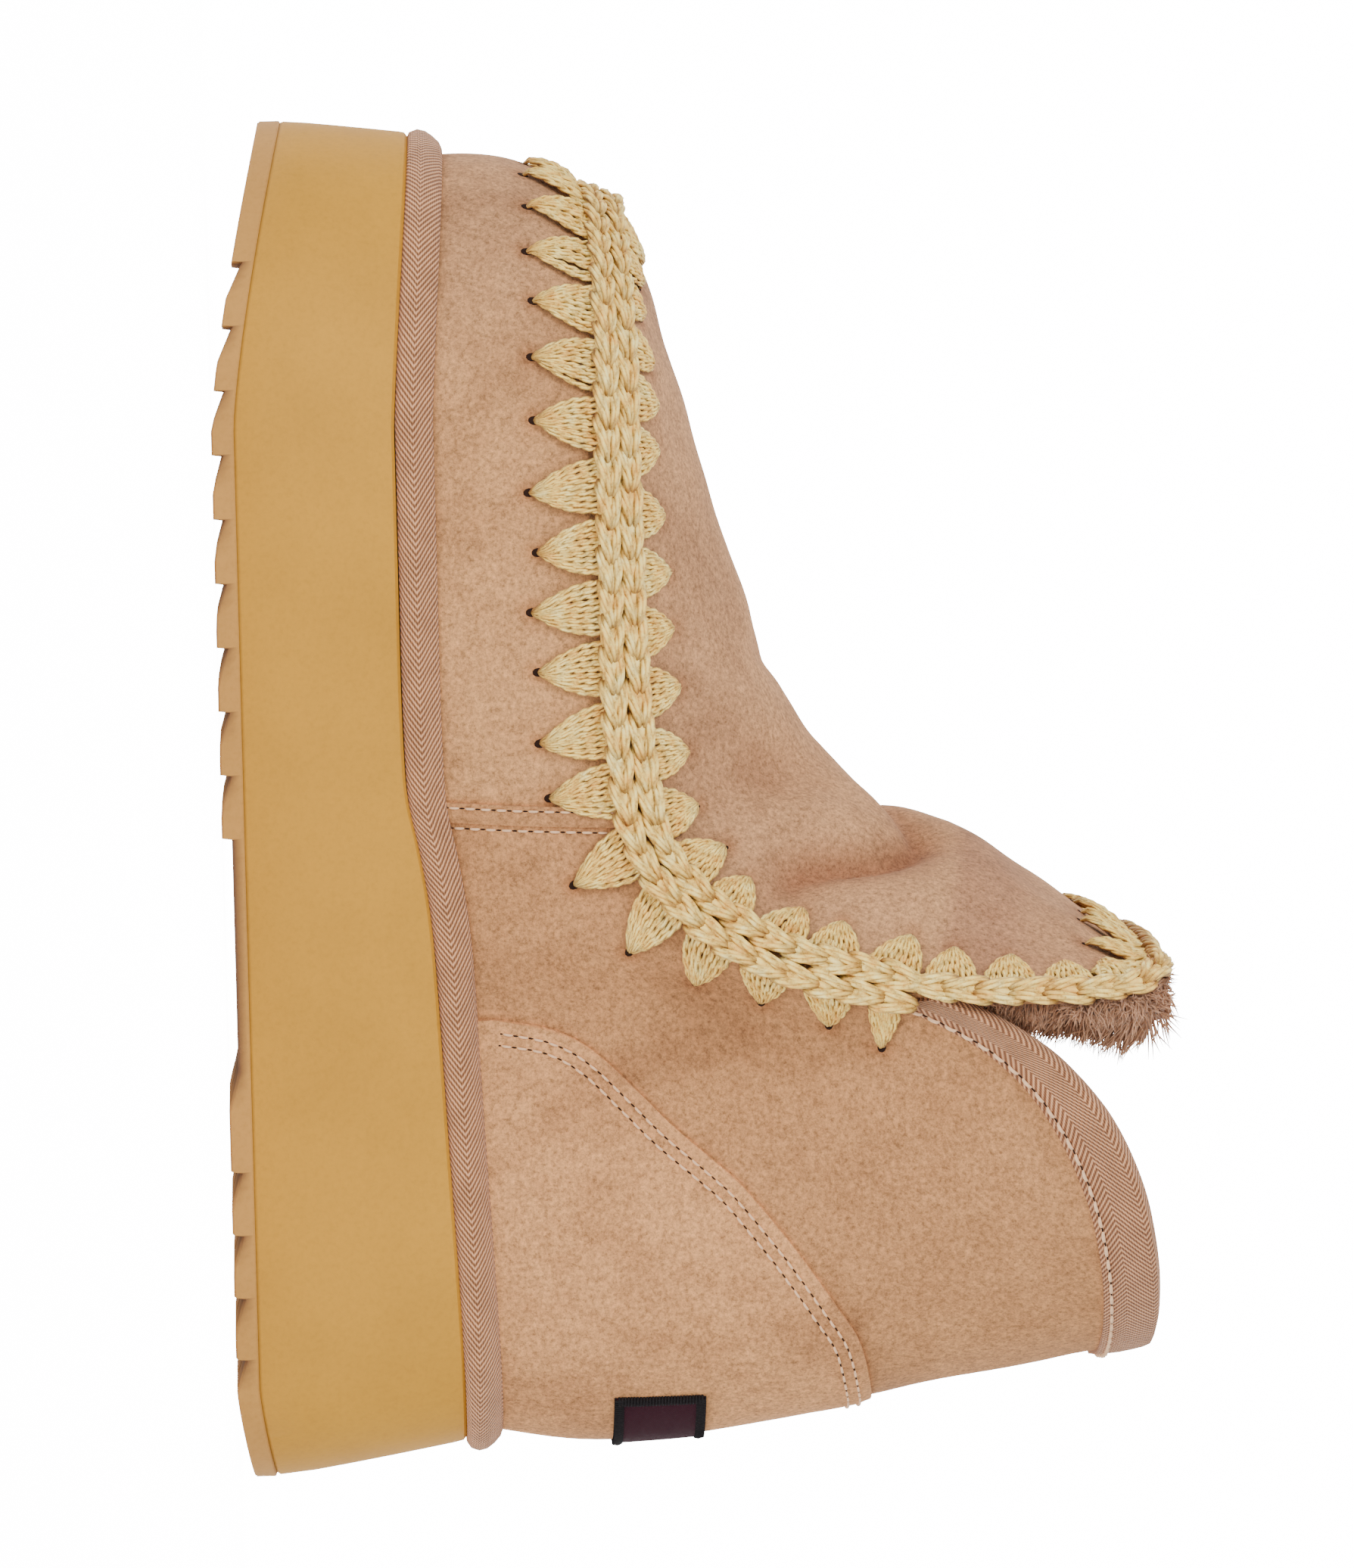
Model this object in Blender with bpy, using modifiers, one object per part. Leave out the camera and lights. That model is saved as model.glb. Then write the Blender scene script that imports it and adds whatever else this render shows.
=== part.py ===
"""A left ankle boot of suede sheepskin on a platform sole, with a crocheted moccasin seam.

Metres. +X points to the toe, +Y to the outer side of this left boot and +Z up. The origin lies
on the floor, under the middle of the sole's length. "Outer" and "inner" are the boot's two sides.
"""
import math

import bmesh
import bpy
import numpy as np
from mathutils import Vector
from mathutils.bvhtree import BVHTree

# Driving sizes of the sole
SOLE_LENGTH = 0.275
BALL_WIDTH = 0.101
BALL_HEIGHT = 0.0362
HEEL_HEIGHT = 0.0463
TOE_RISE = 0.0050
TOE_SPRING = 0.0110
HEEL_LIFT = 0.0032
OUTSOLE_THICKNESS = 0.0045
LUG_HEIGHT = 0.0020
LUG_PITCH = 0.0127
LUG_RAMP = 0.0070
GROOVE_WIDTH = 0.0060
WAIST_BAR_LENGTH = 0.0160
WAIST_BAR_HEIGHT = 0.0009
EDGE_CHAMFER = 0.0010

# Driving sizes of the upper and of what is sewn to it
BOOT_HEIGHT = 0.1840
COLLAR_WIDTH = 0.1350
WALL = 0.0020
CLEARANCE = 0.0003
SKIN_GAP = 0.0005
YARN_GAP = 0.0011
COUNTER_GAP = 0.0007
BINDING_HEIGHT = 0.0075
BINDING_JOINT = 0.0006
HALF_PERIMETER = 0.324
COUNTER_THICKNESS = 0.0014
SEAM_STRIP_WIDTH = 0.0042
SEAM_STRIP_THICKNESS = 0.0010
TAPE_THICKNESS = 0.0013
TAPE_OUTER_FLANGE = 0.0095
TAPE_INNER_FLANGE = 0.0065
CHAIN_WIDTH = 0.0045
CHAIN_FROM_EDGE = 0.0010
CHAIN_HEIGHT = 0.0046
FAN_PITCH = 0.0122
FAN_THICKNESS = 0.0024
SIDE_FAN_LENGTH = 0.0125
PLUG_FAN_LENGTH = 0.0100
FLAP_FAN_LENGTH = 0.0125
LABEL_WIDTH = 0.0480
LABEL_HEIGHT = 0.0176
LABEL_THICKNESS = 0.0009
LABEL_BOTTOM = 0.0763
HEEL_RADIUS = 0.0345
ABOVE_BINDING = 0.0018
INSOLE_THICKNESS = 0.0050
FLEECE_DEPTH = 0.0095
FLAP_FLEECE_DEPTH = 0.0100
LOCK_SPACING = 0.0110

# How far three lines lie inside the sole's outline, at the toe, along the sides and at the heel
PLATFORM_TOP_INSET = (0.0029, 0.0026, 0.0062)
BINDING_INSET = (0.0026, 0.0020, 0.0042)
FOOT_INSET = (0.0085, 0.0072, 0.0112)

# Facets
OUTLINE_STEPS = 14
RIBS_TO_SPLIT = 23
RIBS_BEHIND = 12
WALL_ROWS = 6
FLAP_ROWS = 6
PLUG_COLUMNS = 10

# The sole's outline, toe to heel: share of the length, and shares of the ball width to each side
SOLE_OUTLINE = [
    # station, outer, inner
    (1.000, -0.060, 0.060),
    (0.991, 0.085, 0.195),
    (0.962, 0.240, 0.330),
    (0.915, 0.365, 0.425),
    (0.850, 0.452, 0.480),
    (0.770, 0.496, 0.498),
    (0.680, 0.510, 0.485),
    (0.580, 0.490, 0.440),
    (0.470, 0.450, 0.398),
    (0.350, 0.420, 0.382),
    (0.230, 0.400, 0.385),
    (0.130, 0.362, 0.358),
    (0.060, 0.285, 0.285),
    (0.017, 0.160, 0.160),
    (0.000, 0.000, 0.000),
]

# The platform's wedge: share of the length, share of the step from ball height to heel height
WEDGE = [(0.000, 1.00), (0.080, 0.93), (0.240, 0.72), (0.380, 0.54), (0.425, 0.43), (0.465, 0.26),
         (0.500, 0.08), (0.545, 0.02), (0.600, 0.00), (1.000, 0.00)]

# The upper's ribs. "rib" is the share of the way round the foot line from toe to heel. The top edge
# is the moccasin seam as far as the row named SPLIT_ROW, and the collar behind it. Stations are
# shares of the sole's length, sides shares of half the collar's width and heights shares of the
# boot's height. Low and high push the rib's profile outwards, as shares of the wall's height there.
UPPER_RIBS = [
    # rib, station, outer, inner, height, low, high
    (0.000, 0.9350, -0.075, 0.075, 0.428, 0.060, 0.092),
    (0.050, 0.9285, 0.110, 0.235, 0.428, 0.060, 0.092),
    (0.105, 0.9060, 0.290, 0.395, 0.429, 0.055, 0.085),
    (0.170, 0.8660, 0.460, 0.530, 0.431, 0.048, 0.070),
    (0.240, 0.8020, 0.590, 0.610, 0.432, 0.042, 0.055),
    (0.320, 0.7140, 0.648, 0.632, 0.431, 0.038, 0.045),
    (0.400, 0.6240, 0.652, 0.615, 0.432, 0.034, 0.040),
    (0.470, 0.5460, 0.645, 0.605, 0.438, 0.028, 0.030),
    (0.525, 0.4830, 0.655, 0.630, 0.450, 0.015, 0.015),
    (0.560, 0.4440, 0.700, 0.690, 0.478, 0.000, 0.000),
    (0.590, 0.4100, 0.785, 0.780, 0.530, -0.020, -0.020),
    (0.618, 0.3820, 0.860, 0.860, 0.612, -0.040, -0.025),
    (0.645, 0.3590, 0.920, 0.920, 0.740, -0.055, -0.030),
    (0.668, 0.3360, 0.955, 0.955, 0.818, -0.060, -0.030),
    (0.700, 0.3080, 0.985, 0.985, 0.880, -0.060, -0.030),
    (0.745, 0.2680, 1.000, 1.000, 0.930, -0.055, -0.030),
    (0.800, 0.2150, 0.930, 0.930, 0.968, -0.045, -0.025),
    (0.860, 0.1620, 0.790, 0.790, 0.988, -0.020, -0.020),
    (0.925, 0.1130, 0.540, 0.540, 0.997, 0.020, -0.010),
    (0.970, 0.0870, 0.260, 0.260, 0.998, 0.045, 0.000),
    (1.000, 0.0790, 0.000, 0.000, 0.996, 0.052, 0.000),
]
SPLIT_ROW = 12

# The plug's crown line over each seam row, and the flap above the split. Stations are shares of the
# sole's length and heights shares of the boot's height.
PLUG_CROWN = [
    # rib of the seam, station, height
    (0.000, 0.9350, 0.428),
    (0.050, 0.9300, 0.440),
    (0.105, 0.9110, 0.455),
    (0.170, 0.8740, 0.480),
    (0.240, 0.8110, 0.513),
    (0.320, 0.7330, 0.543),
    (0.400, 0.6550, 0.575),
    (0.470, 0.5930, 0.608),
    (0.525, 0.5540, 0.636),
    (0.560, 0.5300, 0.656),
    (0.590, 0.5100, 0.682),
    (0.618, 0.4930, 0.722),
    (0.645, 0.4690, 0.800),
]
FLAP_ROWS_TABLE = [
    # rise from the split to the tip, edge station, edge side, edge height, crown station, crown height
    (0.00, 0.3590, 0.920, 0.740, 0.4690, 0.800),
    (0.22, 0.3570, 0.945, 0.800, 0.4500, 0.845),
    (0.47, 0.3550, 0.955, 0.872, 0.4280, 0.893),
    (0.70, 0.3550, 0.950, 0.938, 0.4060, 0.940),
    (0.88, 0.3580, 0.915, 0.982, 0.3880, 0.975),
    (1.00, 0.3660, 0.840, 1.004, 0.3760, 0.999),
]
CROWN_POWER = 2.1
FLAP_CORNER = 0.12

# The heel counter's upper edge: share of the way round the foot line, share of the boot's height
COUNTER_EDGE = [(0.653, 0.290), (0.661, 0.350), (0.677, 0.397), (0.706, 0.444), (0.739, 0.491),
                (0.780, 0.558), (0.846, 0.627), (0.887, 0.661), (0.917, 0.681), (0.964, 0.695),
                (1.000, 0.698)]
COUNTER_START = 0.653

SIDE_SEAM_RIB = 0.522
SIDE_SEAM_TOP = 0.330
FOREFOOT_FIRST_NOTCH = 0.8950
FOREFOOT_NOTCHES = 9
HEEL_FRONT_RAMP = 0.3080
HEEL_FIRST_NOTCH = 0.2370
HEEL_NOTCHES = 4
WAIST_BAR_STATION = 0.3560
SPRING_START = 0.7750
LIFT_END = 0.0750


# Curves and small helpers

def cubic_columns(rows, at):
    """Reads every column of a table at a value of its first column, on a smooth curve."""
    table = np.array(rows, float)
    keys = table[:, 0]
    at = min(max(at, keys[0]), keys[-1])
    i = min(max(int(np.searchsorted(keys, at)) - 1, 0), len(keys) - 2)
    low = max(i - 1, 0)
    high = min(i + 2, len(keys) - 1)
    span = keys[i + 1] - keys[i]
    share = (at - keys[i]) / span
    start_slope = (table[i + 1] - table[low]) / (keys[i + 1] - keys[low])
    end_slope = (table[high] - table[i]) / (keys[high] - keys[i])
    a = (1 + 2 * share) * (1 - share) ** 2
    b = share * (1 - share) ** 2
    c = share ** 2 * (3 - 2 * share)
    d = share ** 2 * (share - 1)
    return (a * table[i] + b * span * start_slope + c * table[i + 1] + d * span * end_slope)[1:]


def from_station(station):
    """A share of the sole's length as a place along X."""
    return (station - 0.5) * SOLE_LENGTH


def to_station(x):
    return x / SOLE_LENGTH + 0.5


def ease(low, high, value):
    share = min(max((value - low) / (high - low), 0), 1)
    return share * share * (3 - 2 * share)


def inset_at(rib, insets):
    """An inset that blends from its toe value to its side value and on to its heel value."""
    toe, side, heel = insets
    near_toe = 1 - ease(0.0, 0.22, rib)
    near_heel = ease(0.80, 1.0, rib)
    return side + (toe - side) * near_toe + (heel - side) * near_heel


# The sole's outline

def catmull_loop(points, steps):
    """A closed centripetal curve through the points."""
    curve = []
    count = len(points)
    for i in range(count):
        p = [points[(i + k) % count] for k in (-1, 0, 1, 2)]
        t = [0.0]
        for k in range(3):
            t.append(t[-1] + math.sqrt((p[k + 1] - p[k]).length))
        for k in range(steps):
            at = t[1] + (t[2] - t[1]) * k / steps
            a = [p[j].lerp(p[j + 1], (at - t[j]) / (t[j + 1] - t[j])) for j in range(3)]
            b = [a[j].lerp(a[j + 1], (at - t[j]) / (t[j + 2] - t[j])) for j in range(2)]
            curve.append(b[0].lerp(b[1], (at - t[1]) / (t[2] - t[1])))
    return curve


def make_outline():
    """The outline as two half curves from toe to heel: places, outward normals and arc shares."""
    outer = [Vector((from_station(s), o * BALL_WIDTH)) for s, o, _ in SOLE_OUTLINE]
    inner = [Vector((from_station(s), -i * BALL_WIDTH)) for s, _, i in SOLE_OUTLINE]
    loop = catmull_loop(outer + inner[-2:0:-1], OUTLINE_STEPS)
    heel = OUTLINE_STEPS * (len(SOLE_OUTLINE) - 1)
    count = len(loop)
    halves = {}
    for side, order in ((1, range(0, heel + 1)), (-1, range(count, heel - 1, -1))):
        places = [loop[k % count] for k in order]
        normals = []
        for k in order:
            along = (loop[(k + 1) % count] - loop[(k - 1) % count]).normalized()
            normals.append(Vector((along.y, -along.x)))
        steps = [(b - a).length for a, b in zip(places, places[1:])]
        arc = np.concatenate([[0], np.cumsum(steps)])
        normals = [n if n.dot(p) > 0 else -n for n, p in zip(normals, places)]
        halves[side] = (np.array(places), np.array(normals), arc / arc[-1])
    return halves


OUTLINE = make_outline()


def outline_point(side, rib, inset):
    """A point of the outline moved inwards, and its outward normal."""
    places, normals, arc = OUTLINE[side]
    place = [np.interp(rib, arc, places[:, k]) for k in (0, 1)]
    normal = Vector([np.interp(rib, arc, normals[:, k]) for k in (0, 1)]).normalized()
    return Vector(place) - normal * inset, normal


def outline_width(side, x, insets):
    """How far the inset outline lies from the X axis at a place along X."""
    places, normals, arc = OUTLINE[side]
    inset = np.array([inset_at(r, insets) for r in arc])[:, None]
    moved = places - normals * inset
    return float(np.interp(x, moved[::-1, 0], moved[::-1, 1]))


def outline_ends(insets):
    """The toe and heel ends of the inset outline, along X."""
    toe = outline_point(1, 0.0, insets[0])[0].x
    heel = outline_point(1, 1.0, insets[2])[0].x
    return toe, heel


# Heights of the sole

def ground_height(station):
    """The lowest line of the sole: flat, with toe spring and a little lift at the heel."""
    toe = max(station - SPRING_START, 0) / (1 - SPRING_START)
    heel = max(LIFT_END - station, 0) / LIFT_END
    return TOE_SPRING * toe ** 1.3 + HEEL_LIFT * heel ** 1.3


def parting_height(station):
    """The line where the outsole meets the platform."""
    return ground_height(station) + OUTSOLE_THICKNESS


def platform_height(station):
    """The platform's upper edge."""
    wedge = cubic_columns(WEDGE, station)[0]
    toe = max(station - SPRING_START, 0) / (1 - SPRING_START)
    return BALL_HEIGHT + (HEEL_HEIGHT - BALL_HEIGHT) * wedge + TOE_RISE * toe ** 1.2


# The upper's surfaces

def split_rib():
    return UPPER_RIBS[SPLIT_ROW][0]


def foot_point(side, rib):
    """The upper's lower edge, on the platform, and the outward normal."""
    place, normal = outline_point(side, rib, inset_at(rib, FOOT_INSET))
    height = platform_height(to_station(place.x)) + CLEARANCE
    return Vector((place.x, place.y, height)), Vector((normal.x, normal.y, 0))


def top_point(side, rib):
    """The upper's top edge: the moccasin seam in front, the collar behind."""
    station, outer, inner, height, _, _ = cubic_columns(UPPER_RIBS, rib)
    across = outer if side > 0 else -inner
    return Vector((from_station(station), across * COLLAR_WIDTH / 2, height * BOOT_HEIGHT))


def wall_point(side, rib, share):
    """A point of the upper's side wall, at a share of the way up its rib."""
    foot, normal = foot_point(side, rib)
    top = top_point(side, rib)
    low, high = cubic_columns(UPPER_RIBS, rib)[4:]
    reach = (top - foot).length
    first = foot.lerp(top, 1 / 3) + normal * low * reach * 2.25
    second = foot.lerp(top, 2 / 3) + normal * high * reach * 2.25
    rest = 1 - share
    return (foot * rest ** 3 + first * 3 * share * rest ** 2
            + second * 3 * share ** 2 * rest + top * share ** 3)


def share_at_height(side, rib, height):
    """The share of the way up a rib where the wall reaches a height."""
    low, high = 0.0, 1.0
    for _ in range(30):
        middle = (low + high) / 2
        if wall_point(side, rib, middle).z < height:
            low = middle
        else:
            high = middle
    return (low + high) / 2


def arch_point(left, right, crown_station, crown_height, across):
    """A point of a row that arches from the outer edge (across 1) to the inner edge (across -1)."""
    base = right.lerp(left, (across + 1) / 2)
    middle = left.lerp(right, 0.5)
    bow = 1 - abs(across) ** CROWN_POWER
    base.x += (from_station(crown_station) - middle.x) * bow
    base.z += (crown_height * BOOT_HEIGHT - middle.z) * bow
    return base


def plug_point(rib, across):
    """A point of the plug over the toe and instep, on the row that starts at a rib of the seam."""
    station, height = cubic_columns(PLUG_CROWN, rib)
    return arch_point(top_point(1, rib), top_point(-1, rib), station, height, across)


def flap_point(rise, across):
    """A point of the flap, from the split (rise 0) to its free top edge (rise 1)."""
    station, side, height, crown, crown_height = cubic_columns(FLAP_ROWS_TABLE, rise)
    left = Vector((from_station(station), side * COLLAR_WIDTH / 2, height * BOOT_HEIGHT))
    right = Vector((left.x, -left.y, left.z))
    return arch_point(left, right, crown, crown_height, across)


def even_ribs(start, end, count):
    """Rib shares that divide the top edge into even lengths."""
    fine = np.linspace(start, end, 160)
    points = [top_point(1, r) for r in fine]
    steps = [(b - a).length for a, b in zip(points, points[1:])]
    arc = np.concatenate([[0], np.cumsum(steps)])
    return [float(np.interp(arc[-1] * k / count, arc, fine)) for k in range(count + 1)]


SEAM_RIBS = even_ribs(0.0, split_rib(), RIBS_TO_SPLIT)
REAR_RIBS = even_ribs(split_rib(), 1.0, RIBS_BEHIND)
ALL_RIBS = SEAM_RIBS + REAR_RIBS[1:]


# Building meshes

def new_object(name, points, faces, collection, material):
    mesh = bpy.data.meshes.new(name)
    mesh.from_pydata([tuple(p) for p in points], [], faces)
    mesh.update()
    thing = bpy.data.objects.new(name, mesh)
    collection.objects.link(thing)
    if material:
        mesh.materials.append(material)
    mesh.shade_smooth()
    mesh.set_sharp_from_angle(angle=math.radians(40))
    return thing


def face_outwards(thing):
    shape = bmesh.new()
    shape.from_mesh(thing.data)
    bmesh.ops.remove_doubles(shape, verts=shape.verts, dist=0.00002)
    bmesh.ops.recalc_face_normals(shape, faces=shape.faces)
    if shape.calc_volume(signed=True) < 0:
        bmesh.ops.reverse_faces(shape, faces=shape.faces)
    shape.to_mesh(thing.data)
    shape.free()


def loft(name, sections, collection, material, closed=False):
    """Joins sections of equal point counts into one closed solid."""
    size = len(sections[0])
    points = [p for section in sections for p in section]
    faces = []
    count = len(sections)
    for i in range(count if closed else count - 1):
        a, b = i * size, ((i + 1) % count) * size
        for k in range(size):
            n = (k + 1) % size
            faces.append((a + k, a + n, b + n, b + k))
    if not closed:
        faces.append(tuple(range(size)))
        faces.append(tuple(range((count - 1) * size, count * size)))
    thing = new_object(name, points, faces, collection, material)
    face_outwards(thing)
    return thing


def slab(name, outside, inside, collection, material):
    """A closed sheet between two grids of points of the same shape."""
    rows, columns = len(outside), len(outside[0])
    points = [p for row in outside for p in row] + [p for row in inside for p in row]
    half = rows * columns
    faces = []
    for i in range(rows - 1):
        for k in range(columns - 1):
            a = i * columns + k
            quad = (a, a + 1, a + columns + 1, a + columns)
            faces.append(quad)
            faces.append(tuple(half + q for q in reversed(quad)))
    rim = [k for k in range(columns)]
    rim += [i * columns + columns - 1 for i in range(1, rows)]
    rim += [(rows - 1) * columns + k for k in range(columns - 2, -1, -1)]
    rim += [i * columns for i in range(rows - 2, 0, -1)]
    for a, b in zip(rim, rim[1:] + rim[:1]):
        faces.append((a, b, half + b, half + a))
    thing = new_object(name, points, faces, collection, material)
    face_outwards(thing)
    return thing


def boolean(thing, cutter, operation):
    change = thing.modifiers.new(operation.lower(), 'BOOLEAN')
    change.operation = operation
    change.object = cutter
    cutter.hide_render = True
    cutter.display_type = 'WIRE'


# The sole

def end_stations(count):
    """Shares from heel (0) to toe (1), closer together towards both ends."""
    even = np.linspace(0, 1, count)
    return [float(0.5 - 0.5 * math.cos(math.pi * e)) * 0.994 + 0.003 for e in even]


def plank_section(share, faces):
    """One cross-section of a sole layer, from the insets and heights of its edges, upwards."""
    section = []
    for side, order in ((1, faces), (-1, faces[::-1])):
        for insets, height in order:
            toe, heel = outline_ends(insets)
            x = heel + (toe - heel) * share
            section.append(Vector((x, outline_width(side, x, insets), height(to_station(x)))))
    return section


def blend_insets(insets, share):
    return tuple(v * share for v in insets)


def tread_height(station):
    """The tread's lower face, with a sawtooth of lugs at the forefoot and heel."""
    base = ground_height(station) + LUG_HEIGHT
    pitch = LUG_PITCH / SOLE_LENGTH
    ramp = LUG_RAMP / SOLE_LENGTH
    forefoot_end = FOREFOOT_FIRST_NOTCH - FOREFOOT_NOTCHES * pitch
    heel_last = HEEL_FIRST_NOTCH - (HEEL_NOTCHES - 1) * pitch
    if station > FOREFOOT_FIRST_NOTCH or station < heel_last - ramp:
        depth = 1.0
    elif station > forefoot_end:
        depth = min(((FOREFOOT_FIRST_NOTCH - station) % pitch) / ramp, 1)
    elif station > HEEL_FRONT_RAMP:
        depth = 0.0
    elif station > HEEL_FIRST_NOTCH:
        depth = min((HEEL_FRONT_RAMP - station) / ramp, 1)
    else:
        depth = min(((HEEL_FIRST_NOTCH - station) % pitch) / ramp, 1)
    return base - LUG_HEIGHT * depth


def tread_stations():
    """The stations where the tread's profile turns, with more towards toe and heel."""
    pitch = LUG_PITCH / SOLE_LENGTH
    ramp = LUG_RAMP / SOLE_LENGTH
    sharp = 0.0006
    forefoot_end = FOREFOOT_FIRST_NOTCH - FOREFOOT_NOTCHES * pitch
    notches = [FOREFOOT_FIRST_NOTCH - k * pitch for k in range(FOREFOOT_NOTCHES)]
    notches += [HEEL_FIRST_NOTCH - k * pitch for k in range(HEEL_NOTCHES)]
    stations = {0.003, 0.012, 0.030, 0.055, LIFT_END, 0.93, 0.957, 0.977, 0.990, 0.997}
    stations |= {forefoot_end + sharp, forefoot_end - sharp, HEEL_FRONT_RAMP, HEEL_FRONT_RAMP - ramp}
    for notch in notches:
        stations |= {notch + sharp, notch - sharp, notch - ramp}
    middle = (forefoot_end + HEEL_FRONT_RAMP) / 2
    stations.add(middle)
    return sorted(stations)


def build_outsole(collection, cutters, material):
    toe_low, heel_low = outline_ends((0, 0, 0))
    sections = []
    at_parting = blend_insets(PLATFORM_TOP_INSET, 0.08)
    for station in tread_stations():
        section = []
        for side in (1, -1):
            x = from_station(station)
            low = Vector((x, outline_width(side, x, (0, 0, 0)), tread_height(station)))
            toe, heel = outline_ends(at_parting)
            x_high = heel + (toe - heel) * (x - heel_low) / (toe_low - heel_low)
            high = Vector((x_high, outline_width(side, x_high, at_parting), parting_height(station)))
            section += [low, high] if side > 0 else [high, low]
        sections.append(section)
    outsole = loft("outsole", sections, collection, material)
    flat_from = from_station(LIFT_END)
    flat_to = from_station(SPRING_START)
    groove = box("groove_cutter", flat_from, flat_to, GROOVE_WIDTH, -0.002, LUG_HEIGHT, cutters)
    boolean(outsole, groove, 'DIFFERENCE')
    bar_from = from_station(WAIST_BAR_STATION)
    bar_width = BALL_WIDTH * 0.42
    bar = box("waist_bar", bar_from, bar_from + WAIST_BAR_LENGTH, bar_width,
              LUG_HEIGHT - WAIST_BAR_HEIGHT, LUG_HEIGHT + 0.0012, cutters)
    boolean(outsole, bar, 'UNION')
    return outsole


def box(name, x_from, x_to, width, z_from, z_to, collection):
    corners = [(width / 2, z_from), (width / 2, z_to), (-width / 2, z_to), (-width / 2, z_from)]
    sections = [[Vector((x, y, z)) for y, z in corners] for x in (x_from, x_to)]
    return loft(name, sections, collection, None)


def build_platform(collection, material):
    """The wedge between outsole and upper, with its upper edge broken by a small chamfer."""
    lower = blend_insets(PLATFORM_TOP_INSET, 0.08)
    below = blend_insets(PLATFORM_TOP_INSET, 0.97)
    chamfered = tuple(v + EDGE_CHAMFER for v in PLATFORM_TOP_INSET)
    faces = [
        (lower, lambda s: parting_height(s) + CLEARANCE),
        (below, lambda s: platform_height(s) - EDGE_CHAMFER),
        (chamfered, platform_height),
    ]
    sections = [plank_section(share, faces) for share in end_stations(38)]
    return loft("platform", sections, collection, material)


def build_insole(collection, material):
    """The footbed inside the upper, on the platform."""
    edge = tuple(v + WALL + 4 * CLEARANCE for v in FOOT_INSET)
    faces = [
        (edge, lambda s: platform_height(s) + CLEARANCE),
        (edge, lambda s: platform_height(s) + CLEARANCE + INSOLE_THICKNESS),
    ]
    sections = [plank_section(share, faces) for share in end_stations(24)]
    return loft("insole", sections, collection, material)


def above_platform(place, gap):
    """The point a small gap above the platform, over a place."""
    return Vector((place.x, place.y, platform_height(to_station(place.x)) + gap))


def build_binding(collection, material):
    """The tape-covered rand that closes the joint between upper and platform. Its ends meet at the
    back of the heel."""
    sections = []
    ribs = ALL_RIBS[:-1] + [1 - BINDING_JOINT / 2 / HALF_PERIMETER]
    loop = [(1, r) for r in ribs[::-1]] + [(-1, r) for r in ribs[1:]]
    for side, rib in loop:
        foot, normal = foot_point(side, rib)
        top = wall_point(side, rib, share_at_height(side, rib, foot.z + BINDING_HEIGHT))
        lower = wall_point(side, rib, share_at_height(side, rib, top.z - 0.0014))
        outer = outline_point(side, rib, inset_at(rib, BINDING_INSET))[0]
        edge = foot + normal * (outer - foot.to_2d()).length
        up = Vector((0, 0, BINDING_HEIGHT))
        lip = top + normal * (SKIN_GAP + 0.0011)
        sections.append([
            above_platform(foot + normal * CLEARANCE * 1.4, CLEARANCE * 1.9),
            above_platform(edge - normal * 0.0010, CLEARANCE * 1.2),
            edge + up * 0.28,
            edge - normal * 0.0004 + up * 0.60,
            lip.lerp(edge + up * 0.80, 0.48),
            lip,
            lower + normal * SKIN_GAP,
        ])
    return loft("binding", sections, collection, material)


# The upper

def upper_skin():
    """The upper's outer surface as points and faces: side wall, plug and flap, sewn into one sheet."""
    points = []
    rows = [k / WALL_ROWS for k in range(WALL_ROWS + 1)]
    loop = [(1, k) for k in range(len(ALL_RIBS))]
    loop += [(-1, k) for k in range(len(ALL_RIBS) - 2, 0, -1)]
    column = {}
    for side, k in loop:
        rib = ALL_RIBS[k]
        foot = foot_point(side, rib)[0]
        first = share_at_height(side, rib, foot.z + BINDING_HEIGHT)
        heights = [0.0] + [first + (1 - first) * r for r in rows]
        column[side, k] = len(points)
        points += [wall_point(side, rib, h) for h in heights]
    column[-1, 0] = column[1, 0]
    column[-1, len(ALL_RIBS) - 1] = column[1, len(ALL_RIBS) - 1]
    last = WALL_ROWS + 1
    faces = []
    for (side_a, a), (side_b, b) in zip(loop, loop[1:] + loop[:1]):
        for v in range(last):
            p, q = column[side_a, a] + v, column[side_b, b] + v
            faces.append((p, q, q + 1, p + 1))
    split = len(SEAM_RIBS) - 1
    grid = [[column[1, 0] + last] * (PLUG_COLUMNS + 1)]
    for k in range(1, split + 1):
        row = [column[-1, k] + last]
        for c in range(1, PLUG_COLUMNS):
            row.append(len(points))
            points.append(plug_point(SEAM_RIBS[k], -1 + 2 * c / PLUG_COLUMNS))
        grid.append(row + [column[1, k] + last])
    for k in range(1, FLAP_ROWS + 1):
        row = []
        for c in range(PLUG_COLUMNS + 1):
            row.append(len(points))
            points.append(flap_point(k / FLAP_ROWS, -1 + 2 * c / PLUG_COLUMNS))
        grid.append(row)
    for low, high in zip(grid, grid[1:]):
        for c in range(PLUG_COLUMNS):
            corners = [low[c], low[c + 1], high[c + 1], high[c]]
            kept = [p for i, p in enumerate(corners) if p not in corners[:i]]
            if len(kept) > 2:
                faces.append(tuple(kept))
    return points, faces


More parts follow.
